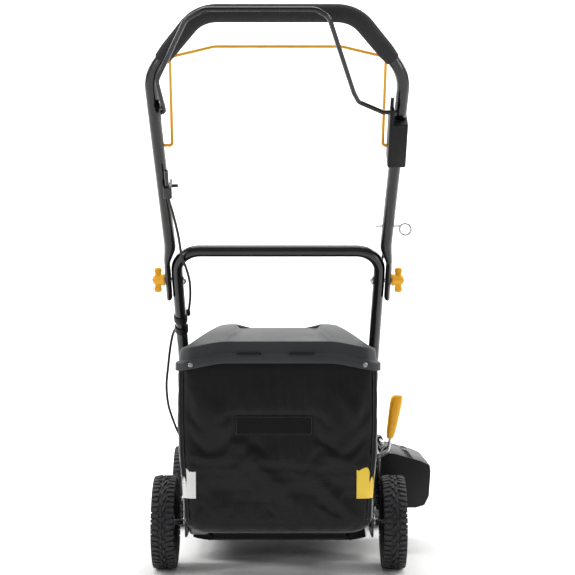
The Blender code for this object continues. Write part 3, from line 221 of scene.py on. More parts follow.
def blank(name, roughness, metallic=0.0, **sockets):
    """A material with its Principled shader set up, its tree and its object coordinates."""
    made = bpy.data.materials.new(name)
    made.use_nodes = True
    shader = made.node_tree.nodes["Principled BSDF"]
    shader.inputs["Roughness"].default_value = roughness
    shader.inputs["Metallic"].default_value = metallic
    for key, value in sockets.items():
        shader.inputs[key.replace("_", " ")].default_value = value
    coords = node(made.node_tree, "ShaderNodeTexCoord")
    return made, made.node_tree, shader, coords.outputs["Object"]


def surface(name, dark, light, roughness, metallic=0.0, blotch=60.0, grain=2.0, depth=0.05, spread=0.08,
            stretch=(1, 1, 1), **sockets):
    """Two close tones in soft blotches, a fine grain in the bump, and a roughness that varies with them."""
    made, tree, shader, coords = blank(name, roughness, metallic, **sockets)
    place = node(tree, "ShaderNodeMapping", {"Vector": coords, "Scale": stretch}).outputs[0]
    cloud = node(tree, "ShaderNodeTexNoise", {"Vector": place, "Scale": 1 / (blotch * MM), "Detail": 3.0})
    tone = node(tree, "ShaderNodeMix", {0: cloud.outputs[0], 6: linear(dark), 7: linear(light)},
                data_type="RGBA")
    tree.links.new(tone.outputs[2], shader.inputs["Base Color"])
    shine = node(tree, "ShaderNodeMapRange", {
        "Value": cloud.outputs[0], "To Min": roughness - spread, "To Max": roughness + spread})
    tree.links.new(shine.outputs[0], shader.inputs["Roughness"])
    fine = node(tree, "ShaderNodeTexNoise", {"Vector": place, "Scale": 1 / (grain * MM), "Detail": 2.0})
    bump = node(tree, "ShaderNodeBump", {"Height": fine.outputs[0], "Strength": depth, "Distance": grain * MM})
    tree.links.new(bump.outputs[0], shader.inputs["Normal"])
    return made


print("helpers ready")

# %% [markdown]
# **Powder coat** is baked paint: gloss black, with the faint ripple called orange peel. **EVA foam** is matt, with
# closed cells that scatter light. **Moulded polypropylene** has a spark-eroded grain that the mould leaves, and
# the yellow of the knobs is the same plastic with pigment. The brake bail is a steel rod **dipped in PVC**.

# %% Paint, foam and plastic
GLOSS_BLACK = surface("powder_coat_gloss_black", "#060607", "#0A0A0B", 0.2, blotch=80, grain=6, depth=0.06,
                      spread=0.04, **{"Coat Weight": 0.35, "Coat Roughness": 0.12})
FOAM = surface("eva_foam_black", "#1E1E20", "#29292B", 0.82, blotch=30, grain=2.2, depth=0.35)
YELLOW = surface("polypropylene_yellow", "#F2A60C", "#FFBE1E", 0.38, blotch=40, grain=2.5, depth=0.06,
                 **{"Subsurface Weight": 0.08, "Subsurface Scale": 0.004})
DIPPED = surface("pvc_dip_yellow", "#D8960E", "#EDB023", 0.3, blotch=50, grain=4, depth=0.05, spread=0.05)
MOULDED = surface("polypropylene_black", "#0A0A0B", "#111113", 0.46, blotch=50, grain=2.2, depth=0.16,
                   **{"Specular IOR Level": 0.3})
RIM_PLASTIC = surface("polypropylene_rim_black", "#0C0C0D", "#141416", 0.5, blotch=30, grain=2.0, depth=0.12)
LID_GREY = surface("polypropylene_dark_grey", "#25272A", "#2E3134", 0.5, blotch=120, grain=2.4, depth=0.22)
CABLE = surface("pvc_sheath_black", "#0D0D0E", "#161617", 0.42, blotch=20, grain=3, depth=0.05)
BELT = surface("neoprene_belt", "#131314", "#1E1E1F", 0.75, blotch=15, grain=1.5, depth=0.3)
MARK_WHITE = surface("screen_print_white", "#D9D9D6", "#EDEDEA", 0.55, blotch=30, grain=2, depth=0.1)
MARK_YELLOW = surface("screen_print_yellow", "#E9BE2E", "#FADA50", 0.55, blotch=30, grain=2, depth=0.1)

# %% [markdown]
# ** Zinc plate** is bright and a little uneven. **Cast aluminium** keeps the
# sand's skin. **Ground steel** is darker, with scratches across the grind. **Tyre rubber** picks up pale dust,
# so its two tones lie further apart.

# %% Metals, rubber and the stage
ZINC = surface("zinc_plated_steel", "#B9BABD", "#D9DADC", 0.27, 1.0, blotch=14, grain=2.0, depth=0.06,
               spread=0.08)
CAST = surface("cast_aluminium", "#8F9091", "#AAABAC", 0.5, 1.0, blotch=25, grain=2.4, depth=0.3)
STEEL = surface("ground_steel", "#6E6F72", "#8E8F92", 0.36, 1.0, blotch=12, grain=2.0, depth=0.12,
                stretch=(1, 6, 1))
SILENCER = surface("heat_tinted_steel", "#77726B", "#A39D95", 0.42, 1.0, blotch=30, grain=2.0, depth=0.12)
TYRE = surface("tyre_rubber", "#212123", "#37373A", 0.72, blotch=22, grain=2.2, depth=0.25)
THREAD = surface("polyester_thread_grey", "#2D2D30", "#47474B", 0.7, blotch=6, grain=1.2, depth=0.3)
PAPER = surface("studio_paper", "#F4F4F3", "#F8F8F7", 0.85, blotch=900, grain=30, depth=0.02)
stage.data.materials.append(PAPER)
print(len(bpy.data.materials), "materials")

# %% [markdown]
# ## Tubes and rods
# The machine is mostly bent tube. A curve with a bevel would do for round rod, but the upper handle is pressed
# flat where it is bolted, so one function sweeps a section of any size along a line. It carries its section
# without twist from one point to the next, which keeps the shading smooth through each bend.

# %% Lines with rounded corners, smooth routes and swept tubes
def rounded(points, radii, step=6.0):
    """The line through the points, each inner corner replaced by an arc; all in one unit."""
    points = [Vector(p) for p in points]
    line = [points[0]]
    for before, corner, after, radius in zip(points, points[1:], points[2:], radii):
        back, on = (before - corner).normalized(), (after - corner).normalized()
        opening = back.angle(on)
        if radius <= 0 or math.pi - opening < 1e-4:
            line.append(corner)
            continue
        centre = corner + (back + on).normalized() * radius / math.sin(opening / 2)
        first = corner + back * radius / math.tan(opening / 2) - centre
        last = corner + on * radius / math.tan(opening / 2) - centre
        turns = max(2, math.ceil(math.degrees(math.pi - opening) / step))
        for k in range(turns + 1):
            turn = Quaternion(first.cross(last), (math.pi - opening) * k / turns)
            line.append(centre + turn @ first)
    return line + [points[-1]]


def smooth_route(points, spacing):
    """A smooth curve through the points, with a point about every spacing."""
    ends = [points[0] * 2 - points[1]] + points + [points[-1] * 2 - points[-2]]
    line = [points[0]]
    for a, b, c, d in zip(ends, ends[1:], ends[2:], ends[3:]):
        steps = max(2, round((c - b).length / spacing))
        for k in range(1, steps + 1):
            t = k / steps
            line.append((b * 2 + (c - a) * t + (a * 2 - b * 5 + c * 4 - d) * t * t
                         + (b * 3 - a - c * 3 + d) * t ** 3) / 2)
    return line


def add_object(name, bm, finish, sharp=35.0):
    """The bmesh as a piece at the origin, shaded smooth up to an angle, in its finish."""
    mesh = bpy.data.meshes.new(name)
    bm.to_mesh(mesh)
    bm.free()
    mesh.shade_smooth()
    mesh.set_sharp_from_angle(angle=math.radians(sharp))
    mesh.materials.append(finish)
    made = bpy.data.objects.new(name, mesh)
    bpy.context.scene.collection.objects.link(made)
    return made


def swept(name, path, sizes, finish, up=OUT, sides=24, closed=False):
    """A bar along a line in metres; sizes are half widths in mm, across and along up, one pair or one per point."""
    if isinstance(sizes, (int, float)):
        sizes = (sizes, sizes)
    if isinstance(sizes[0], (int, float)):
        sizes = [sizes] * len(path)
    bm = bmesh.new()
    rows = []
    up = Vector(up).normalized()
    last = len(path) - 1
    for k, (here, (wide, deep)) in enumerate(zip(path, sizes)):
        after = path[(k + 1) % len(path)] if closed else path[min(k + 1, last)]
        before = path[k - 1] if closed else path[max(k - 1, 0)]
        heading = (after - before).normalized()
        up = (up - heading * up.dot(heading)).normalized()
        across = heading.cross(up)
        rows.append([
            bm.verts.new(here + (across * wide * math.cos(a) + up * deep * math.sin(a)) * MM)
            for a in (2 * math.pi * n / sides for n in range(sides))
        ])
    pairs = list(zip(rows, rows[1:])) + ([(rows[-1], rows[0])] if closed else [])
    for low, high in pairs:
        for n in range(sides):
            bm.faces.new((low[n], low[(n + 1) % sides], high[(n + 1) % sides], high[n]))
    if not closed:
        bm.faces.new(rows[0][::-1])
        bm.faces.new(rows[-1])
    bmesh.ops.recalc_face_normals(bm, faces=bm.faces)
    return add_object(name, bm, finish)


def settle(piece, body, slot, *replaced):
    """Let a piece ride on its body and stand for CAD nodes; its slot is not used."""
    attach(piece, body)
    if replaced:
        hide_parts(*replaced)
    return piece


# %% [markdown]
# The upper handle is one tube bent five times. Its lowest stretch is pressed to a flat 12 mm tab with the bolt
# hole through it, and the section grows back to a round 22 mm above. The foam grip is a sleeve over the top.

# %% The handle's tubes and the grip
TUBE = 11.0
FLAT_THICK, FLAT_WIDE = 12.0, 28.0
FOLD_AT, BAR_AT, TOP_AT, SHOULDER_AT = 520.0, 590.0, 1085.0, 971.0
LEG_BASE, LEG_FOLD, SHOULDER_HALF, TOP_HALF = 184.0, 190.0, 214.6, 127.0
GRIP_RADIUS, GRIP_FROM = 15.0, 1000.0

tab_half = LEG_FOLD + TUBE + 0.5 + FLAT_THICK / 2
half_line = rounded(
    [(tab_half, FOLD_AT - 40, 0), (tab_half, FOLD_AT + 46, 0), (199.8, FOLD_AT + 80, 0),
     (SHOULDER_HALF, SHOULDER_AT, 0), (TOP_HALF, TOP_AT, 0), (0, TOP_AT, 0)], (60, 60, 90, 60), step=5)
flat_line = half_line + [Vector((-p.x, p.y, 0)) for p in half_line[-2::-1]]
sizes = []
for p in flat_line:
    grown = min(1.0, max(0.0, (p.y - FOLD_AT - 44) / 34))
    sizes.append((FLAT_THICK / 2 + (TUBE - FLAT_THICK / 2) * grown, FLAT_WIDE / 2 + (TUBE - FLAT_WIDE / 2) * grown))
upper = swept("upper_handle_tube", [on_handle(p.x, p.y) for p in flat_line], sizes, GLOSS_BLACK, sides=40)
settle(upper, "upper_handle", "powder_coat_black", "upper_handle")

lean = (TOP_HALF - SHOULDER_HALF) / (TOP_AT - SHOULDER_AT)
start = SHOULDER_HALF + lean * (GRIP_FROM - SHOULDER_AT)
grip_line = [Vector((start, GRIP_FROM, 0))] + [p for p in flat_line if p.y > GRIP_FROM + 6]
grip_line = grip_line + [Vector((-start, GRIP_FROM, 0))]
radii = [GRIP_RADIUS - 2.2, GRIP_RADIUS - 0.5] + [GRIP_RADIUS] * (len(grip_line) - 2) + [GRIP_RADIUS - 0.5, GRIP_RADIUS - 2.2]
first = grip_line[0].lerp(grip_line[1], 0.25)
final = grip_line[-1].lerp(grip_line[-2], 0.25)
grip_line = [grip_line[0], first] + grip_line[1:-1] + [final, grip_line[-1]]
grip = swept("foam_grip_sleeve", [on_handle(p.x, p.y) for p in grip_line], [(r, r) for r in radii], FOAM, sides=40)
settle(grip, "upper_handle", "foam_black", "foam_grip")

lower_line = rounded(
    [on_handle(LEG_BASE, 0), on_handle(LEG_FOLD, FOLD_AT + 10), on_handle(LEG_FOLD - 1, BAR_AT),
     on_handle(1 - LEG_FOLD, BAR_AT), on_handle(-LEG_FOLD, FOLD_AT + 10), on_handle(-LEG_BASE, 0)],
    (0, 45 * MM, 45 * MM, 0), step=5)
lower = swept("lower_handle_tube", lower_line, TUBE, GLOSS_BLACK, sides=40)
settle(lower, "chassis", "powder_coat_black", "lower_handle")
print("handle:", len(upper.data.polygons) + len(lower.data.polygons), "faces")

# %% [markdown]
# Two bails hang on the handle. The yellow one stops the engine when it is let go, so at rest it stands away from
# the grip. The black one drives the wheels and rests just above the grip; its right leg leans in, then turns out
# to its housing. Both are plain bent rod, so they take the same sweep as the tubes.

# %% The bails
BRAKE_AT, BRAKE_ROD, BRAKE_OPEN = 826.0, 2.9, math.radians(71.0)
DRIVE_AT, DRIVE_LIFT, DRIVE_ROD, DRIVE_OPEN = 907.0, 20.0, 4.0, math.radians(5.0)


def on_brake(x, reach):
    return on_handle(x, BRAKE_AT + reach * math.cos(BRAKE_OPEN), -reach * math.sin(BRAKE_OPEN))


def on_drive(x, reach):
    return on_handle(x, DRIVE_AT + reach * math.cos(DRIVE_OPEN), DRIVE_LIFT + reach * math.sin(DRIVE_OPEN))


brake_line = rounded(
    [on_brake(206, 0), on_brake(184, 0), on_brake(197, 200), on_brake(117, 225), on_brake(-117, 225),
     on_brake(-197, 200), on_brake(-184, 0), on_brake(-206, 0)],
    [r * MM for r in (5, 14, 20, 20, 14, 5)], step=10)
brake = swept("brake_bail_rod", brake_line, BRAKE_ROD, DIPPED, up=(0.1, 0.2, 1), sides=16)
settle(brake, "brake_bail", "coated_rod_yellow", "brake_bail")
drive_line = rounded(
    [on_drive(-206, 0), on_drive(-191.5, 0), on_drive(-201, 66), on_drive(-146, 188), on_drive(-115, 207),
     on_drive(63, 207), on_drive(84, 192), on_drive(129, 41), on_drive(138, 22), on_drive(180, 0),
     on_drive(204, 0)],
    [r * MM for r in (5, 30, 25, 25, 20, 20, 14, 14, 8)], step=10)
drive = swept("drive_bail_rod", drive_line, DRIVE_ROD, GLOSS_BLACK, up=OUT, sides=16)
settle(drive, "drive_bail", "powder_coat_black", "drive_bail")
print("bails:", len(brake.data.polygons) + len(drive.data.polygons), "faces")

# %% [markdown]
# The control cables are steel wire in a black PVC sheath. They are stiff, so each takes a smooth line between
# its clips: one lies along the right leg, and the other leaves its clip and bows clear at the left. Past the
# hinge each is one fixed line, along the lower handle below it and the upper one above.

# %% The control cables
CABLE_RADIUS, CLAMP_AT = 2.5, 739.0
DRIVE_ROUTE = [
    on_handle(-196, CLAMP_AT - 13, 17.5), on_handle(-189, 690, 17), on_handle(-182, 640, 16.5),
    on_handle(-178, 590, 16.5), on_handle(-171, 560, 15), on_handle(-167, FOLD_AT, 6),
    on_handle(-169, 470, -7), on_handle(-176, 425, -15), on_handle(-190, 398, -18),
    on_handle(-205, 378, -14), machine(-212, -262, 490), machine(-217, -258, 450), machine(-221, -250, 410),
    machine(-219, -228, 370), machine(-211, -190, 332), machine(-207, -128, 305), machine(-204, -58, 287),
    machine(-195, -4, 274), machine(-180, 42, 252), machine(-166, 84, 220), machine(-158, 112, 191.5),
]
BRAKE_ROUTE = [
    on_handle(206, BRAKE_AT - 30, -14), on_handle(201, 700, -15), on_handle(200, 620, -15.5),
    on_handle(196, 560, -15), on_handle(190, FOLD_AT, -15), on_handle(189, 450, -15),
    on_handle(187, 320, -15), on_handle(185, 200, -15), on_handle(180, 90, -22),
    machine(168, 10, 262), machine(150, 60, 262), machine(132, 120, 262), machine(122, 180, 268),
    machine(116, 224, 280),
]
for name, route, lay in (("drive_cable", DRIVE_ROUTE, "loose"), ("brake_cable", BRAKE_ROUTE, "taut")):
    path = smooth_route(route, 0.006)
    cable = swept(f"{name}_sheath", path, CABLE_RADIUS, CABLE, up=(1, 0, 0), sides=12)
    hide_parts(name)
    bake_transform(cable)

# %% [markdown]
# The starter rope runs through a pig-tail guide: zinc wire pushed through the right leg, with a nut inside, and
# wound once and a bit so that the rope slips in sideways. The bag's spring tines and the chute's spring are the
# same kind of thing, a wire on a helix, so one function winds them all.

# %% Wound wire: the rope guide, the spring tines and the chute spring
def winding(count, per_turn, place):
    """Points along a winding; place(turn angle, share of the way) gives each."""
    steps = round(count * per_turn)
    return [place(2 * math.pi * k / per_turn, k / steps) for k in range(steps + 1)]


GUIDE_AT, GUIDE_WIRE, GUIDE_RING = 648.0, 1.9, 10.5
guide_middle = on_handle(233, GUIDE_AT) + Vector((0, 0, -6)) * MM
guide_line = [on_handle(178, GUIDE_AT), on_handle(214, GUIDE_AT)] + [
    guide_middle + Vector((GUIDE_RING * math.cos(a), -8.0 * share, GUIDE_RING * math.sin(a))) * MM
    for k in range(53)
    for share, a in [(k / 52, math.radians(140 - 418 * k / 52))]
]
guide = swept("rope_guide_wire", guide_line, GUIDE_WIRE, ZINC, up=(0, 0, 1), sides=12)
settle(guide, "upper_handle", "zinc_plate", "rope_guide")

TINE_RING, TINE_WIRE, TINE_BAR_Z, TINE_TIP, ENGINE_Y = 10.0, 2.2, 66.0, 12.0, 300.0
for side, sign in SIDES.items():
    x, z = sign * 150, TINE_BAR_Z - 13
    coil = winding(3, 24, lambda a, share, x=x, z=z, s=sign: machine(
        x + s * TINE_RING * math.cos(a), ENGINE_Y - 16 + 32 * share, z + TINE_RING * math.sin(a)))
    line = [machine(x + sign * 16, ENGINE_Y - 34, TINE_TIP), machine(x + sign * TINE_RING, ENGINE_Y - 20, z - 6)]
    line = line + coil + [machine(x + sign * TINE_RING, ENGINE_Y + 20, z - 6),
                          machine(x + sign * 16, ENGINE_Y + 34, TINE_TIP)]
    tine = swept(f"spring_tine_{side}_wire", line, TINE_WIRE, STEEL, up=(0, 1, 0), sides=12)
    settle(tine, "tool", "tool_steel", f"spring_tine_{side}")

CHUTE_X, CHUTE_Z = 240.0, 240.0
spring_line = winding(4, 24, lambda a, share: machine(
    CHUTE_X + 6.2 * math.cos(a + math.pi / 2), 232 + 26 * share, CHUTE_Z + 6.2 * math.sin(a + math.pi / 2)))
spring_line = spring_line + [machine(CHUTE_X + 26, 262, 237.5), machine(298, 266, 222.2)]
chute_spring = swept("chute_spring_wire", spring_line, 1.3, ZINC, up=(0, 1, 0), sides=10)
settle(chute_spring, "side_chute", "zinc_plate", "chute_spring")
print("wound wire:", len(guide_line) + len(spring_line), "points in the guide and the chute spring")

# %% [markdown]
# ## Plates, castings and mouldings
# Most CAD nodes have the right shape but razor edges. A real pressing or moulding has a small radius that catches
# a line of light, and that line is what says steel or plastic. So each is copied, its loose triangles are welded,
# flat areas are merged, and a bevel of its own width is cut along the sharp edges. The copy then stands for it.

# %% Polished copies of CAD nodes
def polished(name, finish, slot, width):
    """A welded, bevelled and smoothly shaded copy of a CAD node, riding where it did."""
    body = nodes[name]["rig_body"]
    bm = bmesh.new()
    bm.from_mesh(nodes[name].data)
    bmesh.ops.remove_doubles(bm, verts=bm.verts, dist=2e-6)
    bmesh.ops.dissolve_limit(bm, angle_limit=math.radians(0.6), verts=bm.verts, edges=bm.edges)
    copy = add_object(f"{name}_finished", bm, finish, sharp=32.0)
    copy.data.materials.clear()
    copy.data.materials.append(finish)
    if width:
        bevel = copy.modifiers.new("edge", "BEVEL")
        bevel.width = width * MM
        bevel.segments = 2
        bevel.limit_method = "ANGLE"
        bevel.angle_limit = math.radians(38)
        bevel.use_clamp_overlap = True
        graph = bpy.context.evaluated_depsgraph_get()
        mesh = bpy.data.meshes.new_from_object(copy.evaluated_get(graph))
        copy.modifiers.clear()
        copy.data = mesh
        mesh.shade_smooth()
        mesh.set_sharp_from_angle(angle=math.radians(50))
    return settle(copy, body, slot, name)


PLATES = ("rear_plate_left", "rear_plate_right", "front_plate_left", "front_plate_right", "bail_bracket_left",
          "chute_bracket")
BLACK_PLASTIC = {"fuel_tank": 1.2, "fuel_cap": 0.8, "air_filter_cover": 1.2, "bail_housing_right": 0.6,
                 "trail_shield": 0.6, "rear_door": 0.5, "side_chute": 0.8}
ZINC_PIECES = {"rear_crank_axle": 0.3, "front_crank_axle": 0.3, "link_rod": 0.5, "door_rod": 0.5,
               "fold_bolt_left": 0, "fold_bolt_right": 0, "height_lever": 0}
CASTINGS = {"gearbox": 1.0, "gearbox_pulley": 0.3, "engine_block": 0.6, "flywheel": 0.6}
GROUND = {"drive_shaft": 0.5, "crankshaft": 0.5, "tool_hub": 0.6, "tine_bar": 0.6}
for name in PLATES:
    polished(name, GLOSS_BLACK, "powder_coat_black", 0.5)
for name in ("deck_shell", "rear_tunnel", "cable_clamp", "bag_frame"):
    polished(name, GLOSS_BLACK, "powder_coat_black", 0)
for group, finish, slot in ((BLACK_PLASTIC, MOULDED, "moulded_black"), (ZINC_PIECES, ZINC, "zinc_plate"),
                            (CASTINGS, CAST, "cast_aluminium"), (GROUND, STEEL, "tool_steel")):
    for name, width in group.items():
        polished(name, finish, slot, width)
polished("muffler", SILENCER, "zinc_plate", 1.0)
polished("oil_cap", YELLOW, "moulded_yellow", 0.8)
polished("drive_belt", BELT, "belt_rubber", 0)

# %% [markdown]
# ## What repeats
# Tread blocks, spokes, cooling vents, fins and bolts are one small shape set round an axis many times. Geometry
# Nodes does that with four nodes: a line of points that all lie on the axis, one copy of the shape on each, a turn
# that grows with the point's number, and then Realize Instances, so that real faces come out. The tree is built
# once, and each use sets its own shape, count and finish.

# %% A tree that sets a shape round an axis
def new_tree(name, sockets):
    """A Geometry Nodes tree with named inputs, its input and output nodes ready."""
    tree = bpy.data.node_groups.new(name, "GeometryNodeTree")
    tree.interface.new_socket("Geometry", in_out="INPUT", socket_type="NodeSocketGeometry")
    for socket, kind, default in sockets:
        made = tree.interface.new_socket(socket, in_out="INPUT", socket_type=kind)
        if default is not None:
            made.default_value = default
    tree.interface.new_socket("Geometry", in_out="OUTPUT", socket_type="NodeSocketGeometry")
    entry = tree.nodes.new("NodeGroupInput")
    leave = tree.nodes.new("NodeGroupOutput")
    return tree, entry.outputs, leave.inputs


def finish_tree(tree, geometry, material, leave):
    """End the tree in real faces in their finish."""
    real = node(tree, "GeometryNodeRealizeInstances", {"Geometry": geometry})
    dressed = node(tree, "GeometryNodeSetMaterial", {"Geometry": real.outputs[0], "Material": material})
    tree.links.new(dressed.outputs[0], leave["Geometry"])


def ring_tree():
    """Copies of a shape turned round the Z axis in even steps, over the given angle."""
    tree, given, leave = new_tree("set_round_an_axis", [
        ("Shape", "NodeSocketObject", None), ("Count", "NodeSocketInt", 12),
        ("Sweep", "NodeSocketFloat", 2 * math.pi), ("Start", "NodeSocketFloat", 0.0),
        ("Material", "NodeSocketMaterial", None)])
    shape = node(tree, "GeometryNodeObjectInfo", {"Object": given["Shape"]})
    points = node(tree, "GeometryNodeMeshLine", {"Count": given["Count"], "Offset": (0.0, 0.0, 0.0)})
    number = node(tree, "GeometryNodeInputIndex")
    stride = node(tree, "ShaderNodeMath", {0: given["Sweep"], 1: given["Count"]}, operation="DIVIDE")
    turn = node(tree, "ShaderNodeMath", {0: number.outputs[0], 1: stride.outputs[0], 2: given["Start"]},
                operation="MULTIPLY_ADD")
    angles = node(tree, "ShaderNodeCombineXYZ", {"Z": turn.outputs[0]})
    copies = node(tree, "GeometryNodeInstanceOnPoints", {
        "Points": points.outputs[0], "Instance": shape.outputs["Geometry"], "Rotation": angles.outputs[0]})
    finish_tree(tree, copies.outputs[0], given["Material"], leave)
    return tree


RING = ring_tree()


def grown(name, tree, place, base=None, **inputs):
    """Run a tree on a base mesh, keep its faces as a plain mesh, and put them in place."""
    mesh = base or bpy.data.meshes.new(name)
    made = bpy.data.objects.new(name, mesh)
    bpy.context.scene.collection.objects.link(made)
    step = made.modifiers.new("grow", "NODES")
    step.node_group = tree
    ids = {item.name: item.identifier for item in tree.interface.items_tree if item.in_out == "INPUT"}
    for key, value in inputs.items():
        step[ids[key.replace("_", " ")]] = value
    graph = bpy.context.evaluated_depsgraph_get()
    plain = bpy.data.meshes.new_from_object(made.evaluated_get(graph))
    made.modifiers.clear()
    plain.transform(place)
    made.data = plain
    plain.shade_smooth()
    plain.set_sharp_from_angle(angle=math.radians(35))
    return made


def shape(name, bm):
    """A bmesh in millimetres as a hidden shape for a tree to copy; the tree's user removes it."""
    bmesh.ops.recalc_face_normals(bm, faces=bm.faces)
    bmesh.ops.scale(bm, vec=(MM, MM, MM), verts=bm.verts)
    mesh = bpy.data.meshes.new(name)
    bm.to_mesh(mesh)
    bm.free()
    made = bpy.data.objects.new(name, mesh)
    bpy.context.scene.collection.objects.link(made)
    made.hide_render = True
    return made


def block(bm, low, high, bevel=0.0):
    """Add a box between two corners to a bmesh, its edges rounded."""
    low, high = Vector(low), Vector(high)
    found = bmesh.ops.create_cube(bm, size=1)["verts"]
    bmesh.ops.scale(bm, vec=high - low, verts=found)
    bmesh.ops.translate(bm, vec=(high + low) / 2, verts=found)
    if bevel:
        edges = list({edge for vert in found for edge in vert.link_edges})
        bmesh.ops.bevel(bm, geom=edges, offset=bevel, segments=2, profile=0.5, affect="EDGES")


def turned(name, profile, place, finish, steps=64, axis=(0, 0, 1), sharp=35.0):
    """A closed profile of (radius, height) in mm turned about an axis through a place in metres."""
    bm = bmesh.new()
    rows = []
    for r, z in profile:
        if r < 1e-6:
            rows.append([bm.verts.new((0, 0, z * MM))])
        else:
            rows.append([bm.verts.new((r * MM * math.cos(a), r * MM * math.sin(a), z * MM))
                         for a in (2 * math.pi * k / steps for k in range(steps))])
    closed = profile[0][0] > 1e-6 and profile[-1][0] > 1e-6
    for low, high in list(zip(rows, rows[1:])) + ([(rows[-1], rows[0])] if closed else []):
        for k in range(steps):
            j = (k + 1) % steps
            ends = [low[k % len(low)], low[j % len(low)], high[j % len(high)], high[k % len(high)]]
            ends = [v for n, v in enumerate(ends) if v not in ends[:n]]
            if len(ends) > 2:
                bm.faces.new(ends)
    bmesh.ops.recalc_face_normals(bm, faces=bm.faces)
    turn = Vector((0, 0, 1)).rotation_difference(Vector(axis)).to_matrix().to_4x4()
    bmesh.ops.transform(bm, matrix=Matrix.Translation(place) @ turn, verts=bm.verts)
    return add_object(name, bm, finish, sharp)


print("ring tree:", len(RING.nodes), "nodes")

# %% [markdown]
# ## Wheels
# The tyre is a turned carcass with a chunky tread: a broken rib along the middle, and on each side long lugs that
# run out to the shoulder and over it, with short ones between. One pitch of that tread is drawn once and set round
# the wheel 26 times. The rim is a dish with six double spokes and a hub cap, and is made the same way.

# %% Tyres and rims
WHEEL_RADIUS, TYRE_HALF, RIM_RADIUS, PITCHES = 100.0, 25.0, 78.0, 26
CARCASS = WHEEL_RADIUS - 4.5
tyre_profile = [(RIM_RADIUS, TYRE_HALF - 6), (RIM_RADIUS + 1.5, TYRE_HALF - 4.6), (86, TYRE_HALF - 2.2),
                (91, TYRE_HALF - 2.6), (CARCASS - 1, TYRE_HALF - 5), (CARCASS, TYRE_HALF - 9)]
tyre_profile = tyre_profile + [(r, -z) for r, z in tyre_profile[::-1]]


def lug(bm, outline, low, high):
    """A tread block: an outline of (around in degrees, across in mm) from one radius to another, sides drafted."""
    middle = Vector((sum(a for a, _ in outline), sum(z for _, z in outline))) / len(outline)
    rows = []
    for radius, share in ((low, 1.06), (high - 0.7, 1.0), (high, 0.9)):
        row = []
        for a, z in outline:
            around = math.radians(middle.x + (a - middle.x) * share)
            across = middle.y + (z - middle.y) * share
            drop = max(0.0, abs(across) - 17) ** 2 * 0.055
            row.append(bm.verts.new(((radius - drop) * math.cos(around), (radius - drop) * math.sin(around), across)))
        rows.append(row)
    for under, over in zip(rows, rows[1:]):
        for k in range(len(outline)):
            j = (k + 1) % len(outline)
            bm.faces.new((under[k], under[j], over[j], over[k]))
    bm.faces.new(rows[0][::-1])
    bm.faces.new(rows[-1])


pitch = 360 / PITCHES
bm = bmesh.new()
for side in (-1, 1):
    half = 0.5 * pitch * (side > 0)
    lug(bm, [(half - 0.5, side * 0.6), (half + 3.0, side * 3.6), (half + 6.5, side * 6.0), (half + 9.0, side * 2.4),
             (half + 6.0, side * 0.6)], CARCASS - 2, WHEEL_RADIUS - 0.4)
    lug(bm, [(half + 0.2, side * 7.4), (half + 3.2, side * 6.6), (half + 4.6, side * 12.0), (half + 6.4, side * 24.2),
             (half - 0.4, side * 24.2), (half + 1.2, side * 12.0)], CARCASS - 2, WHEEL_RADIUS)
    lug(bm, [(half + 7.8, side * 10.5), (half + 10.0, side * 9.2), (half + 12.2, side * 11.0),
             (half + 12.4, side * 24.2), (half + 8.4, side * 24.2)], CARCASS - 2, WHEEL_RADIUS)
tread_pitch = shape("tread_pitch", bm)
bm = bmesh.new()
for side in (-1, 1):
    block(bm, (18, side * 7.5 - 2.6, 2.5), (73.5, side * 7.5 + 2.6, 11.5), 1.0)
block(bm, (40, -6, 2.5), (46, 6, 8.5), 0.8)
spoke_pair = shape("spoke_pair", bm)
rim_profile = [
    (77.6, 18.6), (77.6, -18.6), (74, -19.5), (71.5, -18), (71.5, -5), (66, -3), (24, -3), (17, -6), (16, -17.6),
    (6.3, -17.6), (6.3, 13.6), (16, 13.6), (17, 8), (24, 3.2), (66, 3.2), (71.5, 5), (71.5, 17), (74, 19.5),
]
for end in ("rear", "front"):
    for side, sign in SIDES.items():
        body = f"wheel_{end}_{side}"
        place = Vector(joints[f"{body}_spin"]["pos_m"])
        turn = Vector((0, 0, 1)).rotation_difference(Vector((sign, 0, 0))).to_matrix().to_4x4()
        at_wheel = Matrix.Translation(place) @ turn
        tyre = turned(f"tyre_{end}_{side}_carcass", tyre_profile, place, TYRE, 96, (sign, 0, 0))
        settle(tyre, body, "tyre_rubber", f"tyre_{end}_{side}")
        tread = grown(f"tyre_{end}_{side}_tread", RING, at_wheel, Shape=tread_pitch, Count=PITCHES, Material=TYRE)
        settle(tread, body, "tyre_rubber")
        rim = turned(f"rim_{end}_{side}_dish", rim_profile, place, RIM_PLASTIC, 72, (sign, 0, 0))
        settle(rim, body, "moulded_black", f"rim_{end}_{side}")
        spokes = grown(f"rim_{end}_{side}_spokes", RING, at_wheel, Shape=spoke_pair, Count=6, Material=RIM_PLASTIC)
        settle(spokes, body, "moulded_black")
for used in (tread_pitch, spoke_pair):
    bpy.data.objects.remove(used)
print("tread blocks on each tyre:", 6 * PITCHES)

# %% [markdown]
# ## Yellow pieces
# Yellow marks what the hand goes to: the two wing knobs that clamp the fold, and the height lever. A wing knob is
# a hub with two thumb wings. Both shapes are lofted from rings of rounded boxes, which give the soft,
# drafted edges that a moulding needs to leave its mould.

# %% Wing knobs and lever grip
def box_ring(middle, across, deep, wide, thick, power=3.0, count=28):
    """A rounded box outline about a point, with its two directions and its half sizes in mm."""
    ring = []
    for k in range(count):
        c, s = math.cos(2 * math.pi * k / count), math.sin(2 * math.pi * k / count)
        x = math.copysign(abs(c) ** (2 / power), c) * wide
        y = math.copysign(abs(s) ** (2 / power), s) * thick
        ring.append(middle + (across * x + deep * y) * MM)
    return ring


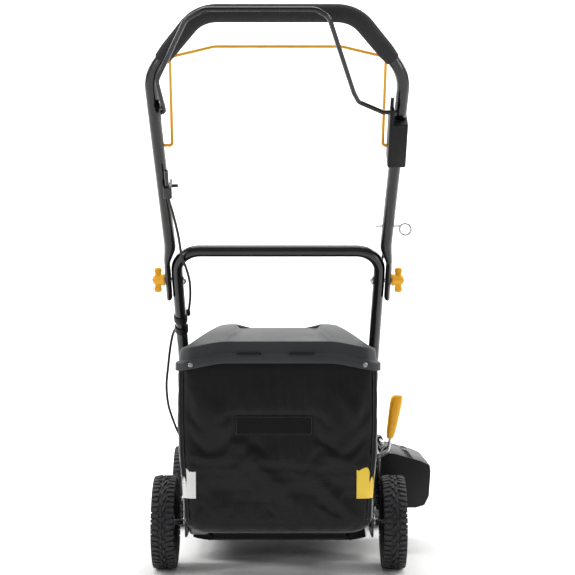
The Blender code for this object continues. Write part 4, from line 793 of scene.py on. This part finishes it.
def lofted(name, rings, finish, sharp=40.0):
    """A closed skin through rings of equal count, capped at both ends."""
    bm = bmesh.new()
    rows = [[bm.verts.new(p) for p in ring] for ring in rings]
    for low, high in zip(rows, rows[1:]):
        for k in range(len(low)):
            j = (k + 1) % len(low)
            bm.faces.new((low[k], low[j], high[j], high[k]))
    bm.faces.new(rows[0][::-1])
    bm.faces.new(rows[-1])
    bmesh.ops.recalc_face_normals(bm, faces=bm.faces)
    return add_object(name, bm, finish, sharp)


X_AXIS, Y_AXIS, Z_AXIS = Vector((1, 0, 0)), Vector((0, 1, 0)), Vector((0, 0, 1))
KNOB_IN = LEG_FOLD + TUBE + 0.5 + FLAT_THICK + 0.5
WING_RINGS = (
    (-23.4, 13.0, 2.5, 2.0), (-22.6, 13.0, 5.5, 4.0), (-20.5, 13.0, 7.0, 5.2), (-16.0, 13.2, 7.2, 5.0),
    (-12.0, 13.0, 6.0, 4.2), (-8.5, 12.5, 6.6, 5.6), (-4.5, 12.0, 8.6, 7.6), (0.0, 12.0, 9.2, 8.6),
)
for side, sign in SIDES.items():
    rings = [
        box_ring(on_handle(sign * (KNOB_IN + x), FOLD_AT) + Z_AXIS * z * MM, X_AXIS, Y_AXIS, wide, thick)
        for z, x, wide, thick in WING_RINGS + tuple((-z, x, w, t) for z, x, w, t in WING_RINGS[-2::-1])
    ]
    wings = lofted(f"wing_knob_{side}_wings", rings, YELLOW)
    settle(wings, f"knob_{side}", "moulded_yellow", f"wing_knob_{side}")
    collar = turned(f"wing_knob_{side}_collar", [
        (4.4, 0.2), (11, 0.2), (11.4, 1.0), (11.0, 5.0), (9.4, 9), (8.6, 20.6), (7.6, 22), (4.4, 22)],
        on_handle(sign * KNOB_IN, FOLD_AT), YELLOW, 40, (sign, 0, 0))
    settle(collar, f"knob_{side}", "moulded_yellow")

GRIP_FOOT, GRIP_TIP = Vector((235, -41.5, 284)), Vector((250, -50, 377))
GRIP_RINGS = ((0, 5.6, 5.2), (0.01, 7.2, 6.4), (0.05, 7.8, 7.0), (0.1, 8.2, 7.4), (0.13, 9.6, 8.4), (0.3, 10.6, 9.0),
              (0.55, 12.0, 9.8), (0.8, 13.0, 10.0), (0.93, 12.6, 9.6), (0.98, 10.6, 8.0), (1.0, 7.4, 5.4))
rings = [
    box_ring(machine(*GRIP_FOOT.lerp(GRIP_TIP, t)), X_AXIS, Y_AXIS, wide, deep, power=2.7)
    for t, wide, deep in GRIP_RINGS
]
lever_grip = lofted("lever_grip_moulding", rings, YELLOW)
settle(lever_grip, "rear_cranks", "moulded_yellow", "lever_grip")
CLIP_RINGS = ((398, -190, -18), (425, -176, -15))
for number, (along, across, out) in enumerate(CLIP_RINGS):
    band = turned(f"cable_clip_band_{number}", [
        (TUBE + 0.1, -7), (TUBE + 2, -7), (TUBE + 2.4, -5), (TUBE + 2.4, 5), (TUBE + 2, 7), (TUBE + 0.1, 7)],
        on_handle(-LEG_BASE - 6 * along / FOLD_AT, along), MOULDED, 36, ALONG)
    loop = turned(f"cable_clip_loop_{number}", [
        (2.7, -5), (5, -5), (5.4, -4), (5.4, 4), (5, 5), (2.7, 5)], on_handle(across, along, out), MOULDED, 24, ALONG)
    settle(band, "chassis", "moulded_black")
    settle(loop, "chassis", "moulded_black")
print("yellow pieces and cable clips done")

# %% [markdown]
# ## The engine
# Behind the bag sits a small upright four-stroke. Its shroud is one turned moulding with an air inlet on top,
# where fins run out from the starter's hub between two rings. The fins repeat, so the ring tree sets them.

# %% Shroud, inlet fins and bolts
SHROUD_TOP, SHROUD_RADIUS = 430.0, 106.0
shroud_profile = [
    (0, SHROUD_TOP - 5), (30, SHROUD_TOP - 5), (31, SHROUD_TOP - 1.2), (34, SHROUD_TOP - 1), (35, SHROUD_TOP - 7),
    (70, SHROUD_TOP - 10), (72, SHROUD_TOP - 3.5), (76, SHROUD_TOP - 3.5), (84, SHROUD_TOP - 8), (94, SHROUD_TOP - 17),
    (SHROUD_RADIUS - 7, SHROUD_TOP - 27), (SHROUD_RADIUS - 4, SHROUD_TOP - 38), (SHROUD_RADIUS - 2.6, 318),
    (SHROUD_RADIUS - 0.6, 315), (SHROUD_RADIUS, 300), (SHROUD_RADIUS, 283), (SHROUD_RADIUS - 3, 282),
    (SHROUD_RADIUS - 3, 300), (SHROUD_RADIUS - 9, SHROUD_TOP - 34), (82, SHROUD_TOP - 14), (57, SHROUD_TOP - 13),
    (0, SHROUD_TOP - 13),
]
shroud = turned("engine_shroud_moulding", shroud_profile, machine(0, ENGINE_Y, 0), MOULDED, 96)
settle(shroud, "chassis", "moulded_black", "engine_shroud")
bm = bmesh.new()
block(bm, (33, -1.3, SHROUD_TOP - 11), (73, 1.3, SHROUD_TOP - 2.6), 0.5)
fin = shape("inlet_fin", bm)
bm = bmesh.new()
block(bm, (SHROUD_RADIUS - 8.5, -2.2, 318), (SHROUD_RADIUS - 1.6, 2.2, 372), 0.8)
rib = shape("shroud_rib", bm)
bm = bmesh.new()
found = bmesh.ops.create_cone(bm, cap_ends=True, segments=6, radius1=5, radius2=5, depth=4)["verts"]
bmesh.ops.translate(bm, vec=(88, 0, 203), verts=found)
found = bmesh.ops.create_cone(bm, cap_ends=True, segments=20, radius1=7, radius2=7, depth=1)["verts"]
bmesh.ops.translate(bm, vec=(88, 0, 199.5), verts=found)
base_bolt = shape("base_bolt", bm)
at_engine = Matrix.Translation(machine(0, ENGINE_Y, 0))
for name, used, count, finish, slot in (
        ("engine_shroud_inlet_fins", fin, 28, MOULDED, "moulded_black"),
        ("engine_shroud_ribs", rib, 18, MOULDED, "moulded_black"),
        ("engine_base_bolts", base_bolt, 4, ZINC, "zinc_plate")):
    settle(grown(name, RING, at_engine, Shape=used, Count=count, Start=0.35, Material=finish), "chassis", slot)
for used in (fin, rib, base_bolt):
    bpy.data.objects.remove(used)
outlet = turned("starter_rope_outlet", [(3.2, -4), (7.5, -4), (9, 0), (9, 13), (7, 15.5), (4.6, 15.5), (3.2, 12)],
                machine(80, 222, 405), MOULDED, 32, (0.74, -0.62, 0.24))
settle(outlet, "chassis", "moulded_black")
print("engine dressed")

# %% [markdown]
# ## Rows along a line
# Stitches, ribs and louvres repeat along a line that may curve over a surface. This second tree reads a chain of
# vertices as a curve, puts points on it at an even pitch, and turns each copy so that its X runs along the line
# and its Z faces out of the surface. Which way is out comes with each vertex as an attribute.

# %% A tree that sets a shape along a line
def row_tree():
    """Copies of a shape along a line at an even pitch, X along it and Z towards the attribute 'outwards'."""
    tree, given, leave = new_tree("set_along_a_line", [
        ("Shape", "NodeSocketObject", None), ("Pitch", "NodeSocketFloat", 0.01),
        ("Material", "NodeSocketMaterial", None)])
    shape_in = node(tree, "GeometryNodeObjectInfo", {"Object": given["Shape"]})
    line = node(tree, "GeometryNodeMeshToCurve", {"Mesh": given["Geometry"]})
    even = node(tree, "GeometryNodeResampleCurve", {"Curve": line.outputs[0], "Length": given["Pitch"]}, mode="LENGTH")
    outwards = node(tree, "GeometryNodeInputNamedAttribute", {"Name": "outwards"}, data_type="FLOAT_VECTOR")
    heading = node(tree, "GeometryNodeInputTangent")
    upright = node(tree, "FunctionNodeAlignRotationToVector", {"Vector": outwards.outputs[0]}, axis="Z")
    turned_on = node(tree, "FunctionNodeAlignRotationToVector",
                     {"Rotation": upright.outputs[0], "Vector": heading.outputs[0]}, axis="X", pivot_axis="Z")
    copies = node(tree, "GeometryNodeInstanceOnPoints", {
        "Points": even.outputs[0], "Instance": shape_in.outputs["Geometry"], "Rotation": turned_on.outputs[0]})
    finish_tree(tree, copies.outputs[0], given["Material"], leave)
    return tree


ROW = row_tree()


def chain(name, places, outwards, closed=False):
    """A mesh of vertices joined in a chain, each with the way out of the surface."""
    mesh = bpy.data.meshes.new(name)
    edges = [(k, k + 1) for k in range(len(places) - 1)] + ([(len(places) - 1, 0)] if closed else [])
    mesh.from_pydata([tuple(p) for p in places], edges, [])
    attribute = mesh.attributes.new("outwards", "FLOAT_VECTOR", "POINT")
    for item, way in zip(attribute.data, outwards):
        item.vector = way
    return mesh


def stitch_shape():
    """One lockstitch: a short thread that dips in at both ends."""
    bm = bmesh.new()
    rows = []
    for x, z, r in ((-2.0, -0.45, 0.3), (-1.5, 0.15, 0.5), (-0.5, 0.42, 0.55), (0.5, 0.42, 0.55), (1.5, 0.15, 0.5),
                    (2.0, -0.45, 0.3)):
        rows.append([bm.verts.new((x, r * math.cos(a), z + r * math.sin(a)))
                     for a in (2 * math.pi * k / 6 for k in range(6))])
    for low, high in zip(rows, rows[1:]):
        for k in range(6):
            bm.faces.new((low[k], low[(k + 1) % 6], high[(k + 1) % 6], high[k]))
    bm.faces.new(rows[0])
    bm.faces.new(rows[-1])
    return shape("stitch", bm)


STITCH = stitch_shape()
bm = bmesh.new()
block(bm, (-1.2, -9, -1.0), (1.2, 9, 0.8), 0.35)
CHUTE_RIB = shape("chute_rib", bm)
rib_line = [machine(292, y, 220.4) for y in (150, 380)]
chute_ribs = grown("side_chute_top_ribs", ROW, Matrix.Identity(4),
                   chain("chute_ribs", rib_line, [(0.2, 0, 1)] * 2), Shape=CHUTE_RIB, Pitch=0.0115, Material=MOULDED)
settle(chute_ribs, "side_chute", "moulded_black")
bm = bmesh.new()
block(bm, (-1.6, -24, -0.6), (1.6, 24, 0.9), 0.5)
LOUVRE = shape("louvre", bm)
for name, finish, slot, line, way in (
        ("silencer_louvres", SILENCER, "zinc_plate", [machine(91, 446.2, z) for z in (218, 270)], (0, 1, 0)),
        ("air_filter_louvres", MOULDED, "moulded_black", [machine(-94, 450.2, z) for z in (216, 272)], (0, 1, 0))):
    row = grown(name, ROW, Matrix.Identity(4), chain(name, line, [way] * 2), Shape=LOUVRE, Pitch=0.0078,
                Material=finish)
    settle(row, "chassis", slot)

# %% [markdown]
# ## The grass bag
# The bag is a sewn sack of open polyester mesh under a hard lid. Its section changes all the way down: wide and
# square under the lid, drawn in at the floor. So a ring of points is worked out for any height, and both the sack
# and the lid are lofted from such rings. The front stands upright up to the door's rod and leans back above it.

# %% The bag's section at any height
BAG_FRONT, DOOR_ROD_Z, BAG_REAR = -34.0, 338.0, -448.0


def bag_front_at(z):
    lean = max(0.0, z - DOOR_ROD_Z)
    return BAG_FRONT - (10.0 if lean else 0.0) * min(1.0, lean / 20) - lean / math.tan(HANDLE_PITCH)


def bag_ring(z, rear, rear_half, front_half, corner, side_count=26, rear_count=96, front_count=40, turns=6):
    """A level section in machine mm, from the front left corner round by the rear; sides swell to the rear."""
    front = bag_front_at(z)

    def half_at(y):
        share = (BAG_FRONT - y) / (BAG_FRONT - BAG_REAR)
        return front_half + (rear_half - front_half) * share * share

    ring = []

    def straight(a, b, count, swell):
        for k in range(1, count):
            p = a.lerp(b, k / count)
            if swell:
                p.x = math.copysign(half_at(p.y), p.x)
            ring.append(p)

    left, right = half_at(rear), half_at(rear)
    near = half_at(front)
    straight(Vector((-near, front - corner, z)), Vector((-left, rear + corner, z)), side_count, True)
    # each corner turns anticlockwise seen from above: left side, rear, right side, front
    for k in range(turns + 1):
        a = math.pi + math.pi / 2 * k / turns
        ring.append(Vector((-left + corner + corner * math.cos(a), rear + corner + corner * math.sin(a), z)))
    straight(Vector((-left + corner, rear, z)), Vector((right - corner, rear, z)), rear_count, False)
    for k in range(turns + 1):
        a = 1.5 * math.pi + math.pi / 2 * k / turns
        ring.append(Vector((right - corner + corner * math.cos(a), rear + corner + corner * math.sin(a), z)))
    straight(Vector((right, rear + corner, z)), Vector((near, front - corner, z)), side_count, True)
    for k in range(turns + 1):
        a = math.pi / 2 * k / turns
        ring.append(Vector((near - corner + corner * math.cos(a), front - corner + corner * math.sin(a), z)))
    straight(Vector((near - corner, front, z)), Vector((corner - near, front, z)), front_count, False)
    for k in range(turns + 1):
        a = math.pi / 2 + math.pi / 2 * k / turns
        ring.append(Vector((-near + corner + corner * math.cos(a), front - corner + corner * math.sin(a), z)))
    return ring


def between(keys, z):
    """The section at a height, read smoothly from rows of (z, ...) that run downwards."""
    for above, below in zip(keys, keys[1:]):
        if z >= below[0]:
            t = min(1.0, max(0.0, (above[0] - z) / (above[0] - below[0])))
            t = t * t * (3 - 2 * t) if below[0] < 190 else t
            return [a + (b - a) * t for a, b in zip(above[1:], below[1:])]
    return list(keys[-1][1:])


print("points in a ring:", len(bag_ring(300, -430, 188, 168, 24)))

# %% [markdown]
# ### The sack
# The fabric is lofted at the size it is sewn to and then let sag. The cloth simulation holds it where it is bound:
# under the lid, round the mouth and at the floor. It is cut one and a half percent over size, so that it settles
# into shallow swags as a used bag does. How far any point may move is capped, so the bag stays clear of the frame.

# %% Sack mesh with its mouth
SACK_KEYS = (
    (474, -437, 184.5, 165, 24), (452, -438, 185.5, 166, 24), (358, -430, 187, 168, 24), (320, -424, 186, 168, 24),
    (174, -412, 178, 164, 24), (154, -404, 170, 152, 22), (148, -396, 160, 140, 20),
)
MOUTH_HALF, MOUTH_LOW, MOUTH_HIGH = 138.0, 150.0, 318.0
ROW_PITCH = 6.0
SACK_TOP, SACK_LOW = 472.0, 149.0


def in_mouth(face):
    """True for a face of the front panel that lies in the mouth."""
    x, y, z = (face.calc_center_median() - machine(0, 0, 0)) / MM
    return abs(x) < MOUTH_HALF and MOUTH_LOW < z < MOUTH_HIGH and abs(y - BAG_FRONT) < 3


def sack_mesh():
    """The sack as one skin: level rings down to the floor, then rings that close in across it."""
    bm = bmesh.new()
    uv_of = {}
    rows = []
    count = int((SACK_TOP - SACK_LOW) / ROW_PITCH)
    for i in range(count + 1):
        z = SACK_TOP - (SACK_TOP - SACK_LOW) * i / count
        ring = bag_ring(z, *between(SACK_KEYS, z))
        run = 0.0
        row = []
        for k, p in enumerate(ring):
            run += (p - ring[k - 1]).length if k else 0.0
            vert = bm.verts.new(machine(*p))
            uv_of[vert] = (run * MM, z * MM)
            row.append(vert)
        rows.append(row)
    low = bag_ring(SACK_LOW, *between(SACK_KEYS, SACK_LOW))
    middle = sum(low, Vector()) / len(low)
    for t, drop in ((0.05, 3.4), (0.12, 6.0), (0.25, 7.6), (0.42, 8.2), (0.6, 8.4), (0.8, 8.5)):
        row = []
        for p in low:
            q = p.lerp(middle, t)
            vert = bm.verts.new(machine(q.x, q.y, SACK_LOW - drop))
            uv_of[vert] = (q.x * MM, q.y * MM)
            row.append(vert)
        rows.append(row)
    for high, down in zip(rows, rows[1:]):
        for k in range(len(high)):
            j = (k + 1) % len(high)
            bm.faces.new((high[k], down[k], down[j], high[j]))
    bm.faces.new(rows[-1])
    bmesh.ops.delete(bm, geom=[face for face in bm.faces if in_mouth(face)], context="FACES")
    layer = bm.loops.layers.uv.new("weave")
    for face in bm.faces:
        for loop in face.loops:
            loop[layer].uv = uv_of[loop.vert]
    bmesh.ops.recalc_face_normals(bm, faces=bm.faces)
    return bm, len(rows[0])


def woven(name):
    """Open mesh cloth: threads over and under each other in metres of UV, with the gaps dark between them, and painted
    sheen on the threads in soft patches.
    """
    made, tree, shader, _ = blank(name, 0.36, **{"Specular IOR Level": 0.22})
    uv = node(tree, "ShaderNodeUVMap", uv_map="weave")
    waves = []
    for direction, pitch in (("X", 95.0), ("Y", 66.0)):
        wave = node(tree, "ShaderNodeTexWave", {"Vector": uv.outputs[0], "Scale": pitch, "Distortion": 0.3},
                    bands_direction=direction)
        waves.append(wave.outputs["Color"])
    threads = node(tree, "ShaderNodeMath", {0: waves[0], 1: waves[1]}, operation="MAXIMUM")
    # Painted sheen: a soft noise about 9 cm across brightens and darkens the threads' colour in patches laid at
    # random.
    cloud = node(tree, "ShaderNodeTexNoise", {"Vector": uv.outputs[0], "Scale": 11.0, "Detail": 3.0})
    sheen_painted_threads = node(tree, "ShaderNodeMath", {0: threads.outputs[0], 1: cloud.outputs["Fac"]}, operation="MULTIPLY")
    tint = node(tree, "ShaderNodeMix", {0: sheen_painted_threads.outputs[0], 6: linear("#040405"), 7: linear("#1C1D1F")},
                data_type="RGBA")
    tree.links.new(tint.outputs[2], shader.inputs["Base Color"])
    raised = node(tree, "ShaderNodeBump", {"Height": threads.outputs[0], "Strength": 0.35, "Distance": 0.0004})
    tree.links.new(raised.outputs[0], shader.inputs["Normal"])
    return made


WEAVE = woven("polyester_mesh_black")
BINDING = surface("polyester_tape_black", "#070708", "#0E0E0F", 0.72, blotch=12, grain=1.4, depth=0.3,
                  **{"Specular IOR Level": 0.2})
print("sack sections ready")

# %% Let the sack sag
SAG_OUT, SAG_IN, SAG_FRAMES = 8.0, 2.5, 20
LEFT_CORNER, RIGHT_CORNER = 28, 130
PATCH_X, PATCH_Z, PATCH_HALF, PATCH_HIGH = -7.4, 349.6, 72.0, 18.5
TAB_Z, TAB_HALF = 242.0, 29.0
origin = machine(0, 0, 0)


def bound(k, p, per_ring):
    """True where the cloth is sewn to something: its edges, its corners, the patch and the tabs."""
    column = k % per_ring
    x, y, z = (p - origin) / MM
    if z > 446 or z < 158:
        return True
    if min(abs(column - LEFT_CORNER), abs(column - RIGHT_CORNER)) <= 1:
        return True
    if y > BAG_FRONT - 60 and z < MOUTH_HIGH + 8:
        return True
    if y < -380 and abs(x - PATCH_X) < PATCH_HALF + 4 and abs(z - PATCH_Z) < PATCH_HIGH + 4:
        return True
    return abs(z - TAB_Z) < TAB_HALF + 12 and min(abs(column - LEFT_CORNER), abs(column - RIGHT_CORNER)) < 12


FOLDS = ((-150, 420, 30, 190, 3.5, 16), (-60, 300, 60, 175, 3.0, 13), (150, 330, 62, 262, 4.0, 12),
         (55, 270, 150, 165, 5.5, 11), (60, 205, 120, 168, 3.5, 7), (100, 430, 172, 330, 3.5, 14))


def fold_at(p):
    """How far the soft folds of a used bag stand off its rear panel: each is a ridge from one point to another."""
    if p.y > -380 or min(abs(abs(p.x) - 186), abs(p.z - 452)) < 12:
        return 0.0
    total = 0.0
    for x0, z0, x1, z1, height, width in FOLDS:
        run = Vector((x1 - x0, z1 - z0))
        t = (Vector((p.x - x0, p.z - z0)).dot(run)) / run.length_squared
        aside = (Vector((p.x - x0, p.z - z0)) - run * t).length / width
        total += height * math.exp(-aside * aside) * max(0.0, math.sin(math.pi * min(1.0, max(0.0, t))))
    on_patch = abs(p.x - PATCH_X) < PATCH_HALF + 8 and abs(p.z - PATCH_Z) < PATCH_HIGH + 8
    near_tab = abs(p.z - TAB_Z) < TAB_HALF + 8 and abs(p.x) > 148
    return 0.0 if on_patch or near_tab else total


def let_sag(cloth, per_ring):
    """Hang the cloth from where it is bound, and keep the shape that it settles to."""
    drawn = [v.co.copy() for v in cloth.data.vertices]
    outwards = [v.normal.copy() for v in cloth.data.vertices]
    group = cloth.vertex_groups.new(name="bound")
    group.add([k for k, p in enumerate(drawn) if bound(k, p, per_ring)], 1.0, "REPLACE")
    sim = cloth.modifiers.new("sag", "CLOTH")
    rules = sim.settings
    rules.quality = 6
    rules.mass = 0.12
    rules.tension_stiffness = rules.compression_stiffness = 12
    rules.shear_stiffness = 4
    rules.bending_stiffness = 0.5
    rules.shrink_min = -0.013
    rules.vertex_group_mass = "bound"
    sim.point_cache.frame_end = SAG_FRAMES
    for frame in range(1, SAG_FRAMES + 1):
        bpy.context.scene.frame_set(frame)
    settled = cloth.evaluated_get(bpy.context.evaluated_depsgraph_get()).to_mesh()
    moved = [v.co.copy() - p for v, p in zip(settled.vertices, drawn)]
    cloth.modifiers.remove(sim)
    bpy.context.scene.frame_set(1)
    for vert, p, move, out in zip(cloth.data.vertices, drawn, moved, outwards):
        move = move + out * fold_at((p - origin) / MM) * MM
        away = move.dot(out)
        kept = min(max(away, -SAG_IN * MM), SAG_OUT * MM)
        move = move + out * (kept - away)
        if move.length > SAG_OUT * MM:
            move *= SAG_OUT * MM / move.length
        vert.co = p + move
    return max(m.length for m in moved) / MM


bm, per_ring = sack_mesh()
cut_area = sum(f.calc_area() for f in bm.faces)
ring = bag_ring(400, -434, 188, 168, 24)
sack = add_object("bag_fabric_sack", bm, WEAVE, 60.0)
print("furthest free point moved by", round(let_sag(sack, per_ring), 1), "mm")
thick = sack.modifiers.new("cloth thickness", "SOLIDIFY")
thick.thickness, thick.offset = 0.0009, 0.0

# %% [markdown]
# ### Tapes, stitches, patch and tabs
# Every raw edge of the mesh is bound with tape and lockstitched. A tape is a thin strip that follows a line on the
# sack, and the row tree sets the stitches along it.

# %% Tape, patch and tabs
def ribbon(name, places, outwards, half, finish, low=0.7, high=1.5, closed=False):
    """A strip that follows points in machine mm, half as wide to each side, between two heights off the surface."""
    bm = bmesh.new()
    rows = []
    count = len(places)
    for k, p in enumerate(places):
        ahead = places[(k + 1) % count if closed else min(k + 1, count - 1)]
        behind = places[k - 1 if closed or k else 0]
        along = (ahead - behind).normalized()
        out = outwards[k].normalized()
        side = out.cross(along).normalized() * half
        rows.append([bm.verts.new(machine(*(p + side * a + out * b)))
                     for a, b in ((-1, low), (1, low), (1, high - 0.3), (0.9, high), (-0.9, high), (-1, high - 0.3))])
    pairs = list(zip(rows, rows[1:])) + ([(rows[-1], rows[0])] if closed else [])
    for a, b in pairs:
        for k in range(6):
            bm.faces.new((a[k], a[(k + 1) % 6], b[(k + 1) % 6], b[k]))
    if not closed:
        bm.faces.new(rows[0])
        bm.faces.new(rows[-1])
    bmesh.ops.recalc_face_normals(bm, faces=bm.faces)
    return add_object(name, bm, finish, 35.0)


def offset_line(places, outwards, aside, lift, closed=False):
    """The same line moved aside in the surface and lifted off it, in world places for a row of stitches."""
    moved = []
    count = len(places)
    for k, p in enumerate(places):
        ahead = places[(k + 1) % count if closed else min(k + 1, count - 1)]
        behind = places[k - 1 if closed or k else 0]
        side = outwards[k].cross((ahead - behind).normalized()).normalized()
        moved.append(machine(*(p + side * aside + outwards[k].normalized() * lift)))
    return moved


def column_line(column, low, high, step=8.0):
    """A line down the sack at one place of its ring, with the way out of the surface there."""
    places, outwards = [], []
    for i in range(int((high - low) / step) + 1):
        ring = bag_ring(high - i * step, *between(SACK_KEYS, high - i * step))
        along = ring[column + 1] - ring[column - 1]
        places.append(ring[column])
        outwards.append(Vector((along.y, -along.x, 0)))
    return places, outwards


def ring_line(z, first, last):
    """A level line round part of the sack, with the way out of the surface there."""
    ring = bag_ring(z, *between(SACK_KEYS, z))
    count = len(ring)
    picked = [k % count for k in range(first, last)]
    ways = [ring[(k + 1) % count] - ring[k - 1] for k in picked]
    return [ring[k] for k in picked], [Vector((w.y, -w.x, 0)) for w in ways]


bound_pieces = []
rows_of_stitches = []
for side, column in (("left", LEFT_CORNER), ("right", RIGHT_CORNER)):
    places, ways = column_line(column, 160, 448)
    bound_pieces.append(ribbon(f"bag_corner_tape_{side}", places, ways, 6.0, BINDING))
    rows_of_stitches += [(f"corner_{side}_{n}", offset_line(places, ways, aside, 1.5), ways)
                         for n, aside in enumerate((-4.2, 4.2))]
front_out = Vector((0, 1, 0))
corners = [(-1, MOUTH_LOW - 1), (-1, MOUTH_HIGH + 2), (1, MOUTH_HIGH + 2), (1, MOUTH_LOW - 1)]
mouth_line = [Vector((s * (MOUTH_HALF + 3), BAG_FRONT, max(z, 164))) for s, z in corners]
bound_pieces.append(ribbon("bag_mouth_tape", mouth_line, [front_out] * 4, 5.0, BINDING))
rows_of_stitches.append(("mouth", [machine(*(p + Vector((0, 1.5, 0)))) for p in mouth_line], [front_out] * 4))

patch_y = between(SACK_KEYS, PATCH_Z)[0]
rear_out = Vector((0, -1, -0.15)).normalized()
patch_line = [Vector((PATCH_X + t * PATCH_HALF, patch_y, PATCH_Z)) for t in (-1, -0.5, 0, 0.5, 1)]
patch = ribbon("bag_patch", patch_line, [rear_out] * 5, PATCH_HIGH, BINDING, low=0.5, high=1.3)
bound_pieces.append(patch)
slope = (between(SACK_KEYS, 357)[0] - between(SACK_KEYS, 325)[0]) / 32.0
patch_edge = [
    machine(PATCH_X + sx * (PATCH_HALF - 2.5), patch_y + slope * sz * (PATCH_HIGH - 2.5) - 1.4,
            PATCH_Z + sz * (PATCH_HIGH - 2.5))
    for sx, sz in ((-1, -1), (1, -1), (1, 1), (-1, 1), (-1, -1))
]
rows_of_stitches.append(("patch", patch_edge, [rear_out] * 5))
for name, line, ways in rows_of_stitches:
    row = grown(f"stitches_{name}", ROW, Matrix.Identity(4), chain(f"line_{name}", line, ways), Shape=STITCH,
                Pitch=0.0052, Material=THREAD)
    settle(row, "grass_bag", "woven_mesh_black")
    bound_pieces.append(row)
for side, first, last, finish in (("left", LEFT_CORNER - 1, LEFT_CORNER + 5, MARK_WHITE),
                                  ("right", RIGHT_CORNER - 6, RIGHT_CORNER + 2, MARK_YELLOW)):
    places, ways = ring_line(TAB_Z, first, last)
    ways = [Vector((w.x, w.y, -0.08 * w.length)) for w in ways]
    bound_pieces.append(ribbon(f"bag_tab_{side}", places, ways, TAB_HALF, finish, low=1.4, high=2.3))
for piece in bound_pieces:
    if not piece.name.startswith("stitches"):
        settle(piece, "grass_bag", "woven_mesh_black")
settle(sack, "grass_bag", "woven_mesh_black", "bag_fabric")
print(len(bound_pieces), "pieces on the sack")

# %% [markdown]
# ### The lid
# The lid is a thin moulding with a skirt, a step with two latch slots, a rolled lip, and a top that rises to
# two low ridges with a shallow recess between them. The slots are not cut: they are black bars of painted shade on
# the step. Its wall is a Solidify of one skin, as the real part is.

# %% Lid
LID_KEYS = (
    (531, -250, 128, 112, 12), (528, -300, 138, 120, 14), (521, -360, 153, 132, 16), (508, -426, 172, 148, 18),
    (505, -440, 180, 160, 24), (502, -441.5, 181, 161, 24), (486, -441.5, 183, 165, 24), (483, -443, 184, 166, 25),
    (481, -447, 188, 168, 26), (478, -448, 190, 169, 26), (458, -448, 190, 169, 26), (455.6, -447.4, 189.4, 168.6, 26),
)
RECESS_HALF, RECESS_DEEP, RECESS_EDGE = 84.0, 7.5, 9.0
LID_FALL, SKIRT_ARCH = 14.0, 9.0


def lid_height(x, y, z):
    """The level of a lid point: the whole lid falls away to its sides, and the top dips between its ridges."""
    t = min(1.0, max(0.0, (abs(x) - 92.0) / 98.0))
    z += SKIRT_ARCH * max(0.0, 480 - z) / 24.0 - LID_FALL * t * t * (3 - 2 * t)
    if z > 506:
        t = min(1.0, max(0.0, (RECESS_HALF - abs(x)) / RECESS_EDGE))
        z -= RECESS_DEEP * t * t * (3 - 2 * t) * min(1.0, (z - 506) / 20.0)
    return z


bm = bmesh.new()
rows = []
for z, rear, rear_half, front_half, corner in LID_KEYS[::-1]:
    ring = bag_ring(z, rear, rear_half, front_half, corner)
    rows.append([bm.verts.new(machine(p.x, p.y, lid_height(*p))) for p in ring])
top = bag_ring(531, -250, 128, 112, 12)
middle = sum(top, Vector()) / len(top)
for t in (0.25, 0.5, 0.75, 0.96):
    ring = [p.lerp(middle, t) for p in top]
    rows.append([bm.verts.new(machine(p.x, p.y, lid_height(p.x, p.y, 531 + 1.5 * t * (1 - t)))) for p in ring])
for low, high in zip(rows, rows[1:]):
    for k in range(len(low)):
        j = (k + 1) % len(low)
        bm.faces.new((low[k], low[j], high[j], high[k]))
bm.faces.new(rows[-1])
bmesh.ops.recalc_face_normals(bm, faces=bm.faces)
lid = add_object("bag_lid_moulding", bm, LID_GREY, 28.0)
wall = lid.modifiers.new("wall", "SOLIDIFY")
wall.thickness, wall.offset = 0.0024, -1.0
settle(lid, "grass_bag", "moulded_dark_grey", "bag_lid")
# Painted shade: the two latch slots are black bars set a little proud of the step, standing for the dark inside of
# each slot.
bm = bmesh.new()
for low, high in ((-76, -30), (20, 67)):
    block(bm, (low, -448.6, 480.6), (high, -440.6, 485.4), 1.2)
bmesh.ops.scale(bm, vec=(MM, MM, MM), verts=bm.verts)
bmesh.ops.translate(bm, vec=origin, verts=bm.verts)
slot_shade = add_object("bag_lid_latch_slots", bm, MOULDED, 35.0)
settle(slot_shade, "grass_bag", "moulded_black")
for side, sign in SIDES.items():
    screw = turned(f"bag_lid_screw_{side}", [(0, 1.4), (2.2, 1.4), (2.6, 0.4), (3.9, 1.6), (4.6, 0.6), (4.6, -1)],
                   machine(sign * 160, -448.2, 462), ZINC, 24, (0, -1, 0))
    settle(screw, "grass_bag", "zinc_plate")
for used in (STITCH, CHUTE_RIB, LOUVRE):
    bpy.data.objects.remove(used)
print("lid", len(lid.data.vertices), "vertices")

# %% [markdown]
# ## Size and finish
# The frame's box and the built piece's box are both printed. The built piece has to keep to the size of
# the frame it was modelled on.

for label, corners in (("cad", cad_box), ("visual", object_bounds())):
    line = json.dumps({label: [[round(v, 5) for v in corner] for corner in corners]})
    print(line)
